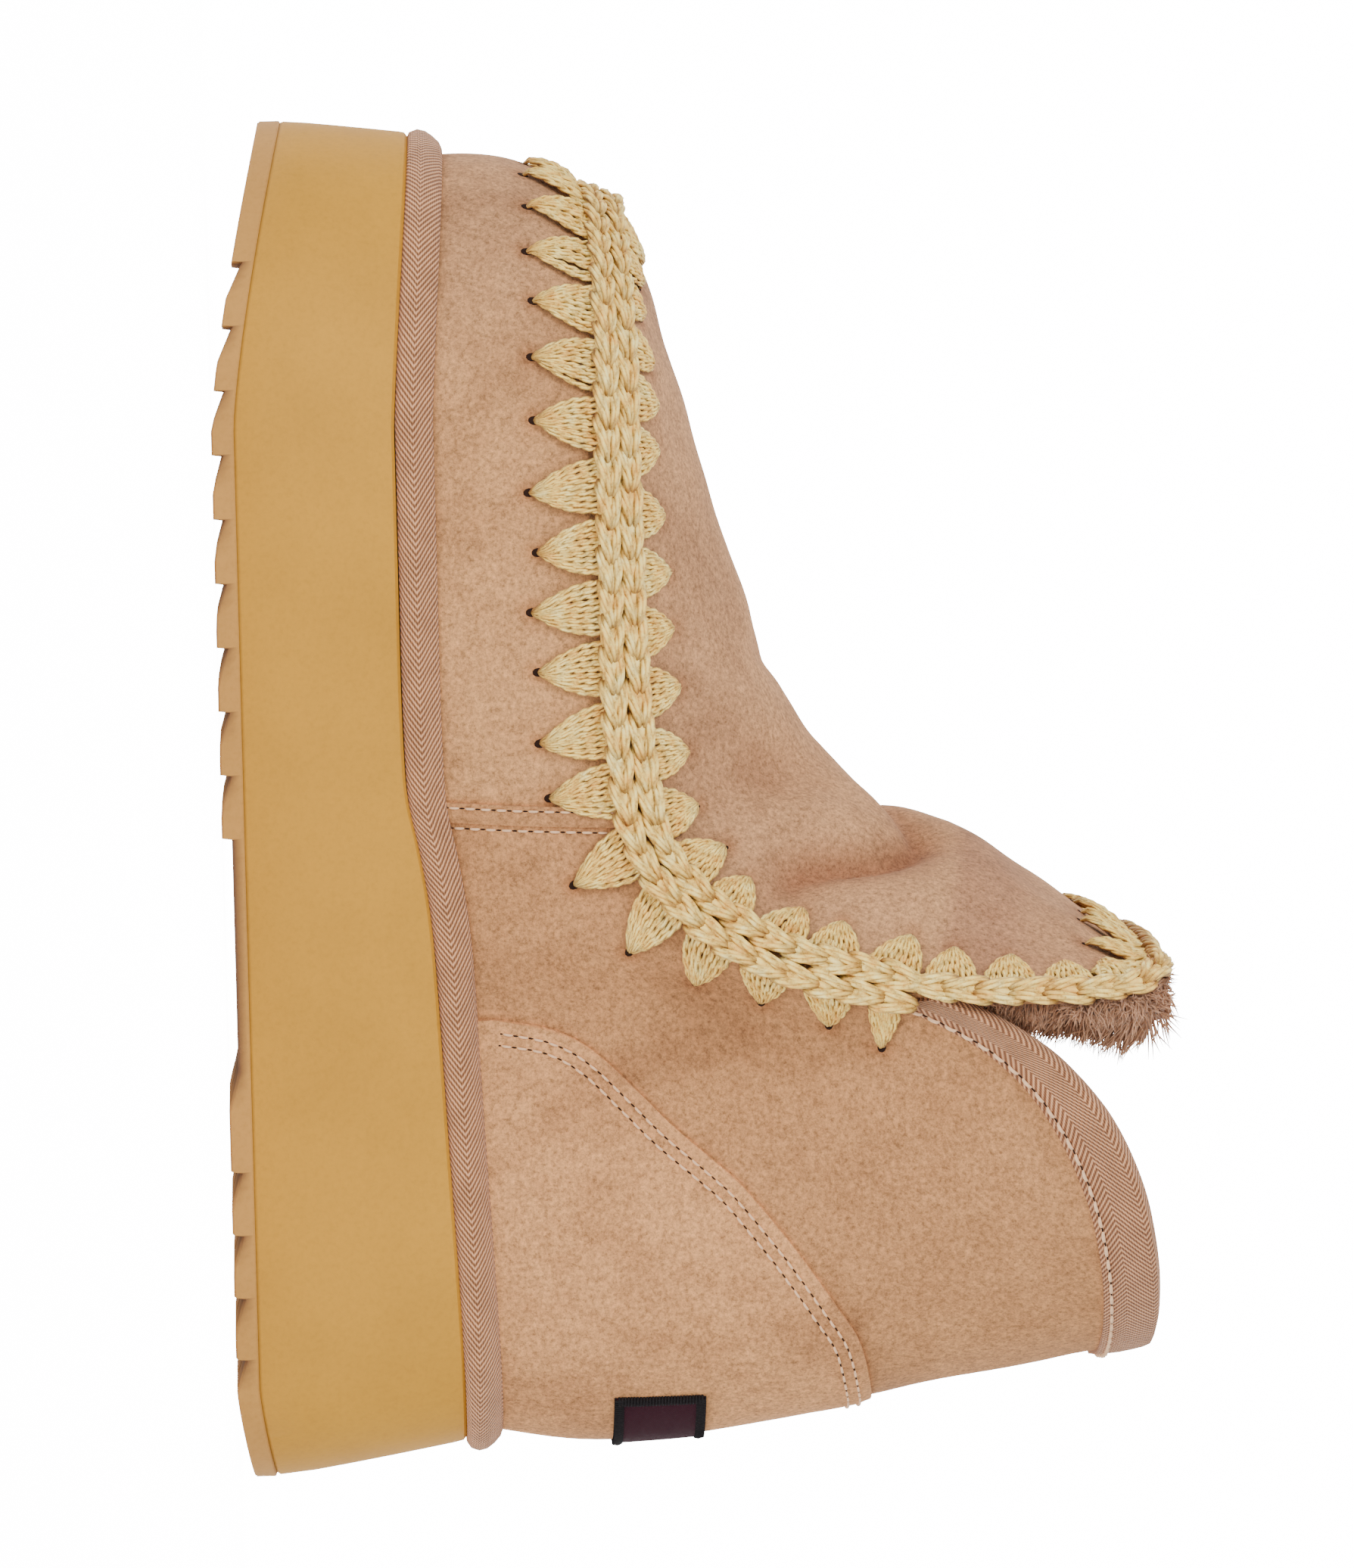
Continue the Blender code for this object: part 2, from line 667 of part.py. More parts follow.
def build_upper(collection, material):
    points, faces = upper_skin()
    upper = new_object("upper", points, faces, collection, material)
    shape = bmesh.new()
    shape.from_mesh(upper.data)
    bmesh.ops.recalc_face_normals(shape, faces=shape.faces)
    toe_face = max(shape.faces, key=lambda f: f.calc_center_median().x)
    if toe_face.normal.x < 0:
        bmesh.ops.reverse_faces(shape, faces=shape.faces)
    shape.to_mesh(upper.data)
    shape.free()
    thicken = upper.modifiers.new("wall", 'SOLIDIFY')
    thicken.thickness = WALL
    thicken.offset = -1
    thicken.use_even_offset = True
    return upper


def skin_tree():
    """The upper's outer surface for finding the nearest point and its normal."""
    points, faces = upper_skin()
    return BVHTree.FromPolygons([tuple(p) for p in points], faces)


# What is sewn to the upper

def wall_frame(side, rib, share):
    """A point of the wall with its outward normal."""
    step = 0.004
    here = wall_point(side, rib, share)
    along = wall_point(side, min(rib + step, 1), share) - wall_point(side, max(rib - step, 0), share)
    up = wall_point(side, rib, min(share + step, 1)) - wall_point(side, rib, max(share - step, 0))
    normal = along.cross(up).normalized() * side
    return here, -normal if normal.dot(foot_point(side, rib)[1]) < 0 else normal


def build_counter(collection, material):
    """The heel counter, laid over the back of the wall."""
    ribs = [COUNTER_START] + [r for r in ALL_RIBS if r > COUNTER_START + 0.006]
    loop = [(1, r) for r in ribs] + [(-1, r) for r in ribs[-2::-1]]
    rows = 4
    outside, inside = [], []
    for side, rib in loop:
        foot = foot_point(side, rib)[0].z
        low = foot + BINDING_HEIGHT + ABOVE_BINDING
        high = cubic_columns(COUNTER_EDGE, rib)[0] * BOOT_HEIGHT
        column_out, column_in = [], []
        for k in range(rows + 1):
            share = share_at_height(side, rib, low + (high - low) * k / rows)
            here, normal = wall_frame(side, rib, share)
            column_in.append(here + normal * COUNTER_GAP)
            column_out.append(here + normal * (COUNTER_GAP + COUNTER_THICKNESS))
        outside.append(column_out)
        inside.append(column_in)
    return slab("heel_counter", outside, inside, collection, material)


def build_label(collection, material):
    """The plain woven patch on the back of the heel."""
    outside, inside = [], []
    columns, rows = 8, 3
    for c in range(columns + 1):
        turn = (c / columns - 0.5) * LABEL_WIDTH / HEEL_RADIUS
        column_out, column_in = [], []
        for k in range(rows + 1):
            height = LABEL_BOTTOM + LABEL_HEIGHT * k / rows
            side = 1 if turn <= 0 else -1
            rib = rib_at_angle(side, abs(turn), height)
            here, normal = wall_frame(side, rib, share_at_height(side, rib, height))
            lift = COUNTER_GAP + COUNTER_THICKNESS + SKIN_GAP
            column_in.append(here + normal * lift)
            column_out.append(here + normal * (lift + LABEL_THICKNESS))
        outside.append(column_out)
        inside.append(column_in)
    return slab("heel_label", outside, inside, collection, material)


def rib_at_angle(side, turn, height):
    """The rib whose point at a height lies a given turn round from the back of the heel."""
    back = wall_point(1, 1.0, share_at_height(1, 1.0, height))
    centre = back.x + HEEL_RADIUS
    low, high = 0.80, 1.0
    for _ in range(24):
        middle = (low + high) / 2
        place = wall_point(side, middle, share_at_height(side, middle, height))
        if math.atan2(abs(place.y), centre - place.x) > turn:
            low = middle
        else:
            high = middle
    return (low + high) / 2


def build_side_seam(side, name, collection, material):
    """The raised seam where the vamp's side panel meets the quarter."""
    length = (wall_point(side, SIDE_SEAM_RIB + 0.01, 0.3)
              - wall_point(side, SIDE_SEAM_RIB - 0.01, 0.3)).length / 0.02
    half = SEAM_STRIP_WIDTH / 2 / length
    outside, inside = [], []
    for rib in (SIDE_SEAM_RIB - half, SIDE_SEAM_RIB + half):
        low = foot_point(side, rib)[0].z + BINDING_HEIGHT + ABOVE_BINDING
        high = SIDE_SEAM_TOP * BOOT_HEIGHT
        column_out, column_in = [], []
        for k in range(4):
            here, normal = wall_frame(side, rib, share_at_height(side, rib, low + (high - low) * k / 3))
            column_in.append(here + normal * SKIN_GAP)
            column_out.append(here + normal * (SKIN_GAP + SEAM_STRIP_THICKNESS))
        outside.append(column_out)
        inside.append(column_in)
    return slab(name, outside, inside, collection, material)


def build_collar_tape(collection, material):
    """The tape folded over the collar's edge, from one front corner round the back to the other."""
    ribs = [r for r in REAR_RIBS if r > split_rib() + 0.014]
    loop = [(1, r) for r in ribs] + [(-1, r) for r in ribs[-2::-1]]
    sections = []
    for side, rib in loop:
        top = top_point(side, rib)
        reach = (top - foot_point(side, rib)[0]).length
        _, normal = wall_frame(side, rib, 0.995)
        below, below_normal = wall_frame(side, rib, 1 - TAPE_OUTER_FLANGE / reach)
        inside, inside_normal = wall_frame(side, rib, 1 - TAPE_INNER_FLANGE / reach)
        up = (top - inside).normalized()
        near = SKIN_GAP + 0.0002
        out = near + TAPE_THICKNESS
        sections.append([
            below + below_normal * near,
            below + below_normal * (out - 0.0005),
            top + normal * out - up * 0.0010,
            top + normal * (out - 0.0012) + up * out,
            top - normal * (WALL + out - 0.0012) + up * out,
            top - normal * (WALL + out) - up * 0.0010,
            inside - inside_normal * (WALL + out),
            inside - inside_normal * (WALL + near),
            top - normal * (WALL + near) + up * near,
            top + normal * near + up * near,
        ])
    return loft("collar_tape", sections, collection, material)


# The crochet: a chain along each edge, with a row of yarn fans reaching onto the suede

def seam_path(flap):
    """The sewn edge as closely spaced points, from the outer split round the toe to the inner one,
    and on round the flap's free edge where that is wanted."""
    fine = np.linspace(0, split_rib(), 120)
    path = [top_point(1, r) for r in fine[::-1]] + [top_point(-1, r) for r in fine[1:]]
    if flap:
        rises = np.linspace(0, 1 - FLAP_CORNER / 2, 24)
        path += [flap_point(r, -1) for r in rises[1:]]
        path += [flap_point(1, a) for a in np.linspace(FLAP_CORNER - 1, 1 - FLAP_CORNER, 40)]
        path += [flap_point(r, 1) for r in rises[::-1][:-1]]
    return path


def walk(path, closed):
    """Arc lengths along a path, with the path closed if that is wanted."""
    points = path + path[:1] if closed else path
    steps = [(b - a).length for a, b in zip(points, points[1:])]
    return np.array([tuple(p) for p in points]), np.concatenate([[0], np.cumsum(steps)])


def at_length(points, arc, length):
    return Vector([float(np.interp(length, arc, points[:, k])) for k in range(3)])


def chain_solid(name, path, closed, toward, trim, collection, material):
    """A chain with its fans as one solid. toward(place, along) gives the direction from the edge
    over the suede and the fan's length there, and trim is left free at each end."""
    tree = skin_tree()
    points, arc = walk(path, closed)
    start, end = (0.0, arc[-1]) if closed else (trim, arc[-1] - trim)
    fans = max(round((end - start) / FAN_PITCH), 3)
    pitch = (end - start) / fans
    stations = []
    for f in range(fans):
        stations += [(start + f * pitch, 0.16), (start + (f + 0.42) * pitch, 1.0),
                     (start + (f + 0.60) * pitch, 1.0)]
    if not closed:
        stations.append((end, 0.16))
    sections = []
    step = 0.0030
    for length, reach in stations:
        before = at_length(points, arc, (length - step) % arc[-1] if closed else max(length - step, 0))
        after = at_length(points, arc, (length + step) % arc[-1] if closed else min(length + step, arc[-1]))
        along = (after - before).normalized()
        edge = at_length(points, arc, length)
        over, fan = toward(edge, along)
        sections.append(chain_section(tree, edge, over, fan * reach, reach))
    return loft(name, sections, collection, material, closed=closed)


def on_skin(tree, place, like):
    """The nearest point of the suede and its normal, on the same side as another direction."""
    hit, normal, _, _ = tree.find_nearest(place)
    return hit, normal if normal.dot(like) > 0 else -normal


def chain_section(tree, edge, over, fan, reach):
    """The outline of a chain and the fan beside it, seen along the seam."""
    foot, normal = on_skin(tree, edge + over * (CHAIN_FROM_EDGE + CHAIN_WIDTH / 2), outward(edge))
    across = (over - normal * over.dot(normal)).normalized()
    base = foot - across * CHAIN_WIDTH / 2
    middle, middle_normal = on_skin(tree, base + across * (CHAIN_WIDTH + fan * 0.5), normal)
    tip, tip_normal = on_skin(tree, base + across * (CHAIN_WIDTH + fan), normal)
    gap = YARN_GAP
    return [
        base + normal * gap,
        base + across * CHAIN_WIDTH * 0.12 + normal * (gap + CHAIN_HEIGHT * 0.86),
        base + across * CHAIN_WIDTH * 0.62 + normal * (gap + CHAIN_HEIGHT),
        base + across * CHAIN_WIDTH * 1.05 + normal * (gap + CHAIN_HEIGHT * 0.62),
        middle + middle_normal * (gap + FAN_THICKNESS * (0.55 + 0.45 * reach)),
        tip + tip_normal * (gap + FAN_THICKNESS * 0.35),
        tip + tip_normal * gap,
        middle + middle_normal * gap,
    ]


def outward(place):
    """Roughly outwards from the middle of the foot or of the shaft."""
    inside = Vector((min(max(place.x, from_station(0.28)), from_station(0.80)), 0, place.z - 0.030))
    return (place - inside).normalized()


def over_wall(edge, along):
    """Down the side wall from the seam, and how far the fan reaches there."""
    sideways = outward(edge)
    sideways.z = 0
    down = along.cross(sideways.normalized())
    down = down if down.z < 0 else -down
    return down.normalized(), SIDE_FAN_LENGTH


def over_plug(edge, along):
    """Inwards over the plug, and down the flap from its free edge."""
    tip = flap_point(0.45, 0.0)
    middle_x = min(max(edge.x, tip.x), from_station(0.86))
    middle = plug_middle(middle_x) if edge.z < 0.74 * BOOT_HEIGHT else tip
    inward = middle - edge
    inward = (inward - along * inward.dot(along)).normalized()
    share = ease(0.66 * BOOT_HEIGHT, 0.86 * BOOT_HEIGHT, edge.z)
    return inward, PLUG_FAN_LENGTH + (FLAP_FAN_LENGTH - PLUG_FAN_LENGTH) * share


def plug_middle(x):
    """The crown line's point at a place along X."""
    stations = [from_station(row[1]) for row in PLUG_CROWN][::-1]
    heights = [row[2] * BOOT_HEIGHT for row in PLUG_CROWN][::-1]
    return Vector((x, 0, float(np.interp(x, stations, heights))))


# The sheepskin's pile where it shows

def lock_relief(a, b, depth):
    """How far the pile's locks stand out, from rounded lumps in two staggered directions."""
    lumps = math.sin(a * math.pi / LOCK_SPACING) * math.sin(b * math.pi / LOCK_SPACING + 0.8)
    return depth * (0.86 + 0.14 * lumps)


def build_flap_fleece(collection, material):
    """The pile under the flap's free part."""
    rows, columns = 6, 14
    outside, inside = [], []
    for i in range(rows + 1):
        rise = -0.02 + 0.99 * i / rows
        row_out, row_in = [], []
        for k in range(columns + 1):
            across = -0.90 + 1.80 * k / columns
            here, normal = flap_frame(rise, across)
            edge_share = min(1, 2.6 * (1 - abs(across)) + 0.35)
            depth = lock_relief(across * 0.062, rise * 0.05, FLAP_FLEECE_DEPTH) * edge_share
            row_out.append(here - normal * (WALL + SKIN_GAP + 0.0003))
            row_in.append(here - normal * (WALL + depth))
        outside.append(row_out)
        inside.append(row_in)
    return slab("flap_fleece", outside, inside, collection, material)


def flap_frame(rise, across):
    step = 0.01
    rise = max(rise, 0)
    here = flap_point(rise, across)
    up = flap_point(min(rise + step, 1), across) - flap_point(max(rise - step, 0), across)
    side = flap_point(rise, across + step) - flap_point(rise, across - step)
    normal = up.cross(side).normalized()
    return here, normal if normal.x > 0 else -normal


def build_shaft_fleece(collection, material):
    """The pile inside the quarters, below the collar tape."""
    ribs = [r for r in REAR_RIBS if r > split_rib() + 0.050]
    loop = [(1, r) for r in ribs] + [(-1, r) for r in ribs[-2::-1]]
    rows = 7
    outside, inside = [], []
    arc = 0.0
    last = None
    for side, rib in loop:
        top = top_point(side, rib)
        foot = foot_point(side, rib)[0]
        arc += (top - last).length if last else 0.0
        last = top
        highest = top.z - 0.0015 - TAPE_INNER_FLANGE
        lowest = foot.z + INSOLE_THICKNESS + 0.010
        column_out, column_in = [], []
        for k in range(rows + 1):
            height = lowest + (highest - lowest) * k / rows
            share = share_at_height(side, rib, height)
            here, normal = wall_frame(side, rib, share)
            end_share = 0.45 if k in (0, rows) else 1.0
            depth = lock_relief(arc, height, FLEECE_DEPTH) * end_share
            column_out.append(here - normal * (WALL + COUNTER_GAP))
            column_in.append(here - normal * (WALL + COUNTER_GAP + depth))
        outside.append(column_out)
        inside.append(column_in)
    return slab("shaft_fleece", outside, inside, collection, material)


# Materials and assembly

def make_material(name, colour, roughness):
    material = bpy.data.materials.new(name)
    material.use_nodes = True
    shader = material.node_tree.nodes["Principled BSDF"]
    shader.inputs["Base Color"].default_value = (*colour, 1)
    shader.inputs["Roughness"].default_value = roughness
    shader.inputs["Metallic"].default_value = 0
    return material


def build_boot():
    for thing in list(bpy.data.objects):
        bpy.data.objects.remove(thing)
    boot = bpy.data.collections.new("ankle_boot")
    cutters = bpy.data.collections.new("cutters")
    bpy.context.scene.collection.children.link(boot)
    bpy.context.scene.collection.children.link(cutters)

    suede = make_material("suede", (0.55, 0.34, 0.24), 0.95)
    suede_light = make_material("suede_counter", (0.58, 0.38, 0.28), 0.95)
    yarn = make_material("yarn", (0.66, 0.50, 0.28), 0.8)
    rubber = make_material("platform_rubber", (0.58, 0.36, 0.12), 0.6)
    tread = make_material("outsole_rubber", (0.55, 0.33, 0.15), 0.65)
    twill = make_material("twill_tape", (0.42, 0.23, 0.16), 0.85)
    fleece = make_material("fleece", (0.50, 0.30, 0.18), 1.0)
    footbed = make_material("footbed", (0.40, 0.28, 0.16), 1.0)
    patch = make_material("label_cloth", (0.05, 0.015, 0.025), 0.8)

    build_outsole(boot, cutters, tread)
    build_platform(boot, rubber)
    build_insole(boot, footbed)
    build_binding(boot, twill)
    build_upper(boot, suede)
    build_counter(boot, suede_light)
    build_side_seam(1, "side_seam_outer", boot, suede)
    build_side_seam(-1, "side_seam_inner", boot, suede)
    build_collar_tape(boot, twill)
    build_label(boot, patch)
    chain_solid("side_crochet", seam_path(False), False, over_wall, 0.0015, boot, yarn)
    chain_solid("plug_crochet", seam_path(True), True, over_plug, 0.0, boot, yarn)
    build_flap_fleece(boot, fleece)
    build_shaft_fleece(boot, fleece)


build_boot()
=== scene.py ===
"""Looks of the left ankle boot: suede, crochet, taped edges, pile, rubber, floor, light, camera.

Metres, in the part's own frame: +X to the toe, +Y to the outer side, +Z up.
"""

import math

import bpy
import numpy as np
from mathutils import Matrix, Vector, noise
from mathutils.bvhtree import BVHTree
from mathutils.kdtree import KDTree


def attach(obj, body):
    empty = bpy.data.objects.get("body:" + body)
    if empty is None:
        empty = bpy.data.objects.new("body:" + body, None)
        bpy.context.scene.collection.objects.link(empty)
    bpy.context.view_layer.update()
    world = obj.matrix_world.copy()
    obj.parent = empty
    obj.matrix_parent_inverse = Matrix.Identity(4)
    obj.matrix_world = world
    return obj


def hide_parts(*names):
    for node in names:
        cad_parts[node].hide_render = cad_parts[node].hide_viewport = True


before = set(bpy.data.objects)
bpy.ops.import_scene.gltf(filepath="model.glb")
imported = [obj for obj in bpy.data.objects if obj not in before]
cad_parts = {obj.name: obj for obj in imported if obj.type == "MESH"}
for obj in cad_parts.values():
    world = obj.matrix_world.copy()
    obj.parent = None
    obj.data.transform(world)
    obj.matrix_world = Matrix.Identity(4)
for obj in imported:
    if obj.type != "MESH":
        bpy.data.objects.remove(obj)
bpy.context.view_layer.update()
# Without a seed, noise_vector differs from run to run
noise.seed_set(7)

# The construction's sizes, repeated from the part's source
SOLE_LENGTH = 0.275
BALL_WIDTH = 0.101
BALL_HEIGHT = 0.0362
HEEL_HEIGHT = 0.0463
TOE_RISE = 0.0050
TOE_SPRING = 0.0110
HEEL_LIFT = 0.0032
OUTSOLE_THICKNESS = 0.0045
LUG_HEIGHT = 0.0020
LUG_PITCH = 0.0127
LUG_RAMP = 0.0070
GROOVE_WIDTH = 0.0060
BOOT_HEIGHT = 0.1840
COLLAR_WIDTH = 0.1350
WALL = 0.0020
BINDING_HEIGHT = 0.0075
HALF_PERIMETER = 0.324
HEEL_RADIUS = 0.0345
LABEL_WIDTH = 0.0480
LABEL_HEIGHT = 0.0176
LABEL_BOTTOM = 0.0763
PLATFORM_TOP_INSET = (0.0029, 0.0026, 0.0062)
BINDING_INSET = (0.0026, 0.0020, 0.0042)
FOOT_INSET = (0.0085, 0.0072, 0.0112)
OUTLINE_STEPS = 14

# Station, and shares of the ball width to the outer and inner side, from toe to heel
SOLE_OUTLINE = [
    (1.000, -0.060, 0.060),
    (0.991, 0.085, 0.195),
    (0.962, 0.240, 0.330),
    (0.915, 0.365, 0.425),
    (0.850, 0.452, 0.480),
    (0.770, 0.496, 0.498),
    (0.680, 0.510, 0.485),
    (0.580, 0.490, 0.440),
    (0.470, 0.450, 0.398),
    (0.350, 0.420, 0.382),
    (0.230, 0.400, 0.385),
    (0.130, 0.362, 0.358),
    (0.060, 0.285, 0.285),
    (0.017, 0.160, 0.160),
    (0.000, 0.000, 0.000),
]

# Station, share of the step from ball height to heel height
WEDGE = [(0.000, 1.00), (0.080, 0.93), (0.240, 0.72), (0.380, 0.54), (0.425, 0.43), (0.465, 0.26),
         (0.500, 0.08), (0.545, 0.02), (0.600, 0.00), (1.000, 0.00)]

UPPER_RIBS = [
    # rib, station, outer, inner, height, low, high
    (0.000, 0.9350, -0.075, 0.075, 0.428, 0.060, 0.092),
    (0.050, 0.9285, 0.110, 0.235, 0.428, 0.060, 0.092),
    (0.105, 0.9060, 0.290, 0.395, 0.429, 0.055, 0.085),
    (0.170, 0.8660, 0.460, 0.530, 0.431, 0.048, 0.070),
    (0.240, 0.8020, 0.590, 0.610, 0.432, 0.042, 0.055),
    (0.320, 0.7140, 0.648, 0.632, 0.431, 0.038, 0.045),
    (0.400, 0.6240, 0.652, 0.615, 0.432, 0.034, 0.040),
    (0.470, 0.5460, 0.645, 0.605, 0.438, 0.028, 0.030),
    (0.525, 0.4830, 0.655, 0.630, 0.450, 0.015, 0.015),
    (0.560, 0.4440, 0.700, 0.690, 0.478, 0.000, 0.000),
    (0.590, 0.4100, 0.785, 0.780, 0.530, -0.020, -0.020),
    (0.618, 0.3820, 0.860, 0.860, 0.612, -0.040, -0.025),
    (0.645, 0.3590, 0.920, 0.920, 0.740, -0.055, -0.030),
    (0.668, 0.3360, 0.955, 0.955, 0.818, -0.060, -0.030),
    (0.700, 0.3080, 0.985, 0.985, 0.880, -0.060, -0.030),
    (0.745, 0.2680, 1.000, 1.000, 0.930, -0.055, -0.030),
    (0.800, 0.2150, 0.930, 0.930, 0.968, -0.045, -0.025),
    (0.860, 0.1620, 0.790, 0.790, 0.988, -0.020, -0.020),
    (0.925, 0.1130, 0.540, 0.540, 0.997, 0.020, -0.010),
    (0.970, 0.0870, 0.260, 0.260, 0.998, 0.045, 0.000),
    (1.000, 0.0790, 0.000, 0.000, 0.996, 0.052, 0.000),
]
SPLIT_RIB = 0.645

PLUG_CROWN = [
    # rib of the seam, station, height
    (0.000, 0.9350, 0.428),
    (0.050, 0.9300, 0.440),
    (0.105, 0.9110, 0.455),
    (0.170, 0.8740, 0.480),
    (0.240, 0.8110, 0.513),
    (0.320, 0.7330, 0.543),
    (0.400, 0.6550, 0.575),
    (0.470, 0.5930, 0.608),
    (0.525, 0.5540, 0.636),
    (0.560, 0.5300, 0.656),
    (0.590, 0.5100, 0.682),
    (0.618, 0.4930, 0.722),
    (0.645, 0.4690, 0.800),
]
FLAP_ROWS_TABLE = [
    # rise, edge station, edge side, edge height, crown station, crown height
    (0.00, 0.3590, 0.920, 0.740, 0.4690, 0.800),
    (0.22, 0.3570, 0.945, 0.800, 0.4500, 0.845),
    (0.47, 0.3550, 0.955, 0.872, 0.4280, 0.893),
    (0.70, 0.3550, 0.950, 0.938, 0.4060, 0.940),
    (0.88, 0.3580, 0.915, 0.982, 0.3880, 0.975),
    (1.00, 0.3660, 0.840, 1.004, 0.3760, 0.999),
]
CROWN_POWER = 2.1

# Rib, height share
COUNTER_EDGE = [(0.653, 0.290), (0.661, 0.350), (0.677, 0.397), (0.706, 0.444), (0.739, 0.491),
                (0.780, 0.558), (0.846, 0.627), (0.887, 0.661), (0.917, 0.681), (0.964, 0.695),
                (1.000, 0.698)]
COUNTER_START = 0.653
SIDE_SEAM_RIB = 0.522
FOREFOOT_FIRST_NOTCH = 0.8950
FOREFOOT_NOTCHES = 9
HEEL_FRONT_RAMP = 0.3080
HEEL_FIRST_NOTCH = 0.2370
HEEL_NOTCHES = 4
SPRING_START = 0.7750
LIFT_END = 0.0750

# The crochet and the sewing
STITCH_PITCH = 0.0066
CHAIN_LIFT = 0.0016
CHAIN_OFFSET = 0.00262
FAN_PITCH = 0.0122
FAN_YARNS = 9
FAN_REACH = 0.0148
PLUG_FAN_REACH = 0.0127
FLAP_FAN_MORE = 0.0026
CHAIN_HALF_WIDTH = 0.00116
CHAIN_PLY_RADIUS = 0.00056
YARN_LAY = 0.0090
TWILL_PITCH = 0.00082
WEFT_PITCH = 0.0005
LABEL_WARP = 0.00045
LABEL_WEFT = 0.00032
THREAD_PITCH = 0.0031
COLLAR_THREAD_PITCH = 0.0037
COUNTER_LIFT = 0.00135
COUNTER_STITCH_LINES = (0.0026, 0.0050)

# Creases of plug and flap: depth, width, the swell beside it, and points on the plug as rib, share
# across and strength, or on the flap as rise, share across and strength
MAIN_FOLD = [(0.598, 0.88, 0.3), (0.604, 0.73, 1.0), (0.628, 0.54, 1.0), (0.636, 0.36, 0.95),
             (0.630, 0.19, 0.7), (0.616, -0.10, 0.6), (0.602, -0.32, 0.7), (0.586, -0.55, 0.3)]
FORE_FOLD = [(0.455, 0.27, 0.1), (0.460, 0.19, 0.3), (0.475, -0.13, 0.4), (0.500, -0.40, 1.0),
             (0.515, -0.58, 0.3)]
CREASES = [
    ("plug", 0.0038, 0.0060, 0.0012, MAIN_FOLD),
    ("plug", 0.0014, 0.0022, 0.0004, MAIN_FOLD),
    ("plug", 0.0016, 0.0060, 0.0006, FORE_FOLD),
    ("plug", 0.0010, 0.0020, 0.0005, FORE_FOLD),
    ("flap", 0.0020, 0.0042, 0.0008, [(0.42, -0.10, 0.2), (0.56, -0.375, 1.0), (0.78, -0.58, 0.2)]),
    ("plug", 0.0018, 0.0060, 0.0006, [(0.530, 0.80, 0.2), (0.550, 0.55, 1.0), (0.568, 0.25, 0.3)]),
]


# Curves and surfaces, as in the part's source

def cubic_columns(rows, at):
    table = np.array(rows, float)
    keys = table[:, 0]
    at = min(max(at, keys[0]), keys[-1])
    i = min(max(int(np.searchsorted(keys, at)) - 1, 0), len(keys) - 2)
    low = max(i - 1, 0)
    high = min(i + 2, len(keys) - 1)
    span = keys[i + 1] - keys[i]
    share = (at - keys[i]) / span
    start_slope = (table[i + 1] - table[low]) / (keys[i + 1] - keys[low])
    end_slope = (table[high] - table[i]) / (keys[high] - keys[i])
    a = (1 + 2 * share) * (1 - share) ** 2
    b = share * (1 - share) ** 2
    c = share ** 2 * (3 - 2 * share)
    d = share ** 2 * (share - 1)
    return (a * table[i] + b * span * start_slope + c * table[i + 1] + d * span * end_slope)[1:]


def from_station(station):
    return (station - 0.5) * SOLE_LENGTH


def to_station(x):
    return x / SOLE_LENGTH + 0.5


def ease(low, high, value):
    share = np.clip((value - low) / (high - low), 0, 1)
    return share * share * (3 - 2 * share)


def inset_at(rib, insets):
    toe, side, heel = insets
    near_toe = 1 - ease(0.0, 0.22, rib)
    near_heel = ease(0.80, 1.0, rib)
    return side + (toe - side) * near_toe + (heel - side) * near_heel


def catmull_loop(points, steps):
    curve = []
    count = len(points)
    for i in range(count):
        p = [points[(i + k) % count] for k in (-1, 0, 1, 2)]
        t = [0.0]
        for k in range(3):
            t.append(t[-1] + math.sqrt((p[k + 1] - p[k]).length))
        for k in range(steps):
            at = t[1] + (t[2] - t[1]) * k / steps
            a = [p[j].lerp(p[j + 1], (at - t[j]) / (t[j + 1] - t[j])) for j in range(3)]
            b = [a[j].lerp(a[j + 1], (at - t[j]) / (t[j + 2] - t[j])) for j in range(2)]
            curve.append(b[0].lerp(b[1], (at - t[1]) / (t[2] - t[1])))
    return curve


def arc_lengths(points):
    """The length along a line at each of its points."""
    return np.concatenate([[0], np.cumsum(np.linalg.norm(np.diff(points, axis=0), axis=1))])


def read_line(values, arc, at):
    """A line's values at lengths along it."""
    return np.stack([np.interp(at, arc, column) for column in values.T], axis=-1)


def make_outline():
    outer = [Vector((from_station(s), o * BALL_WIDTH)) for s, o, _ in SOLE_OUTLINE]
    inner = [Vector((from_station(s), -i * BALL_WIDTH)) for s, _, i in SOLE_OUTLINE]
    loop = catmull_loop(outer + inner[-2:0:-1], OUTLINE_STEPS)
    heel = OUTLINE_STEPS * (len(SOLE_OUTLINE) - 1)
    count = len(loop)
    halves = {}
    for side, order in ((1, range(0, heel + 1)), (-1, range(count, heel - 1, -1))):
        places = [loop[k % count] for k in order]
        normals = []
        for k in order:
            along = (loop[(k + 1) % count] - loop[(k - 1) % count]).normalized()
            normals.append(Vector((along.y, -along.x)))
        normals = [n if n.dot(p) > 0 else -n for n, p in zip(normals, places)]
        steps = [(b - a).length for a, b in zip(places, places[1:])]
        arc = np.concatenate([[0], np.cumsum(steps)])
        halves[side] = (np.array(places), np.array(normals), arc / arc[-1])
    return halves


OUTLINE = make_outline()


def outline_point(side, rib, inset):
    places, normals, arc = OUTLINE[side]
    place, normal = read_line(places, arc, rib), read_line(normals, arc, rib)
    normal /= np.linalg.norm(normal)
    return place - normal * inset, normal


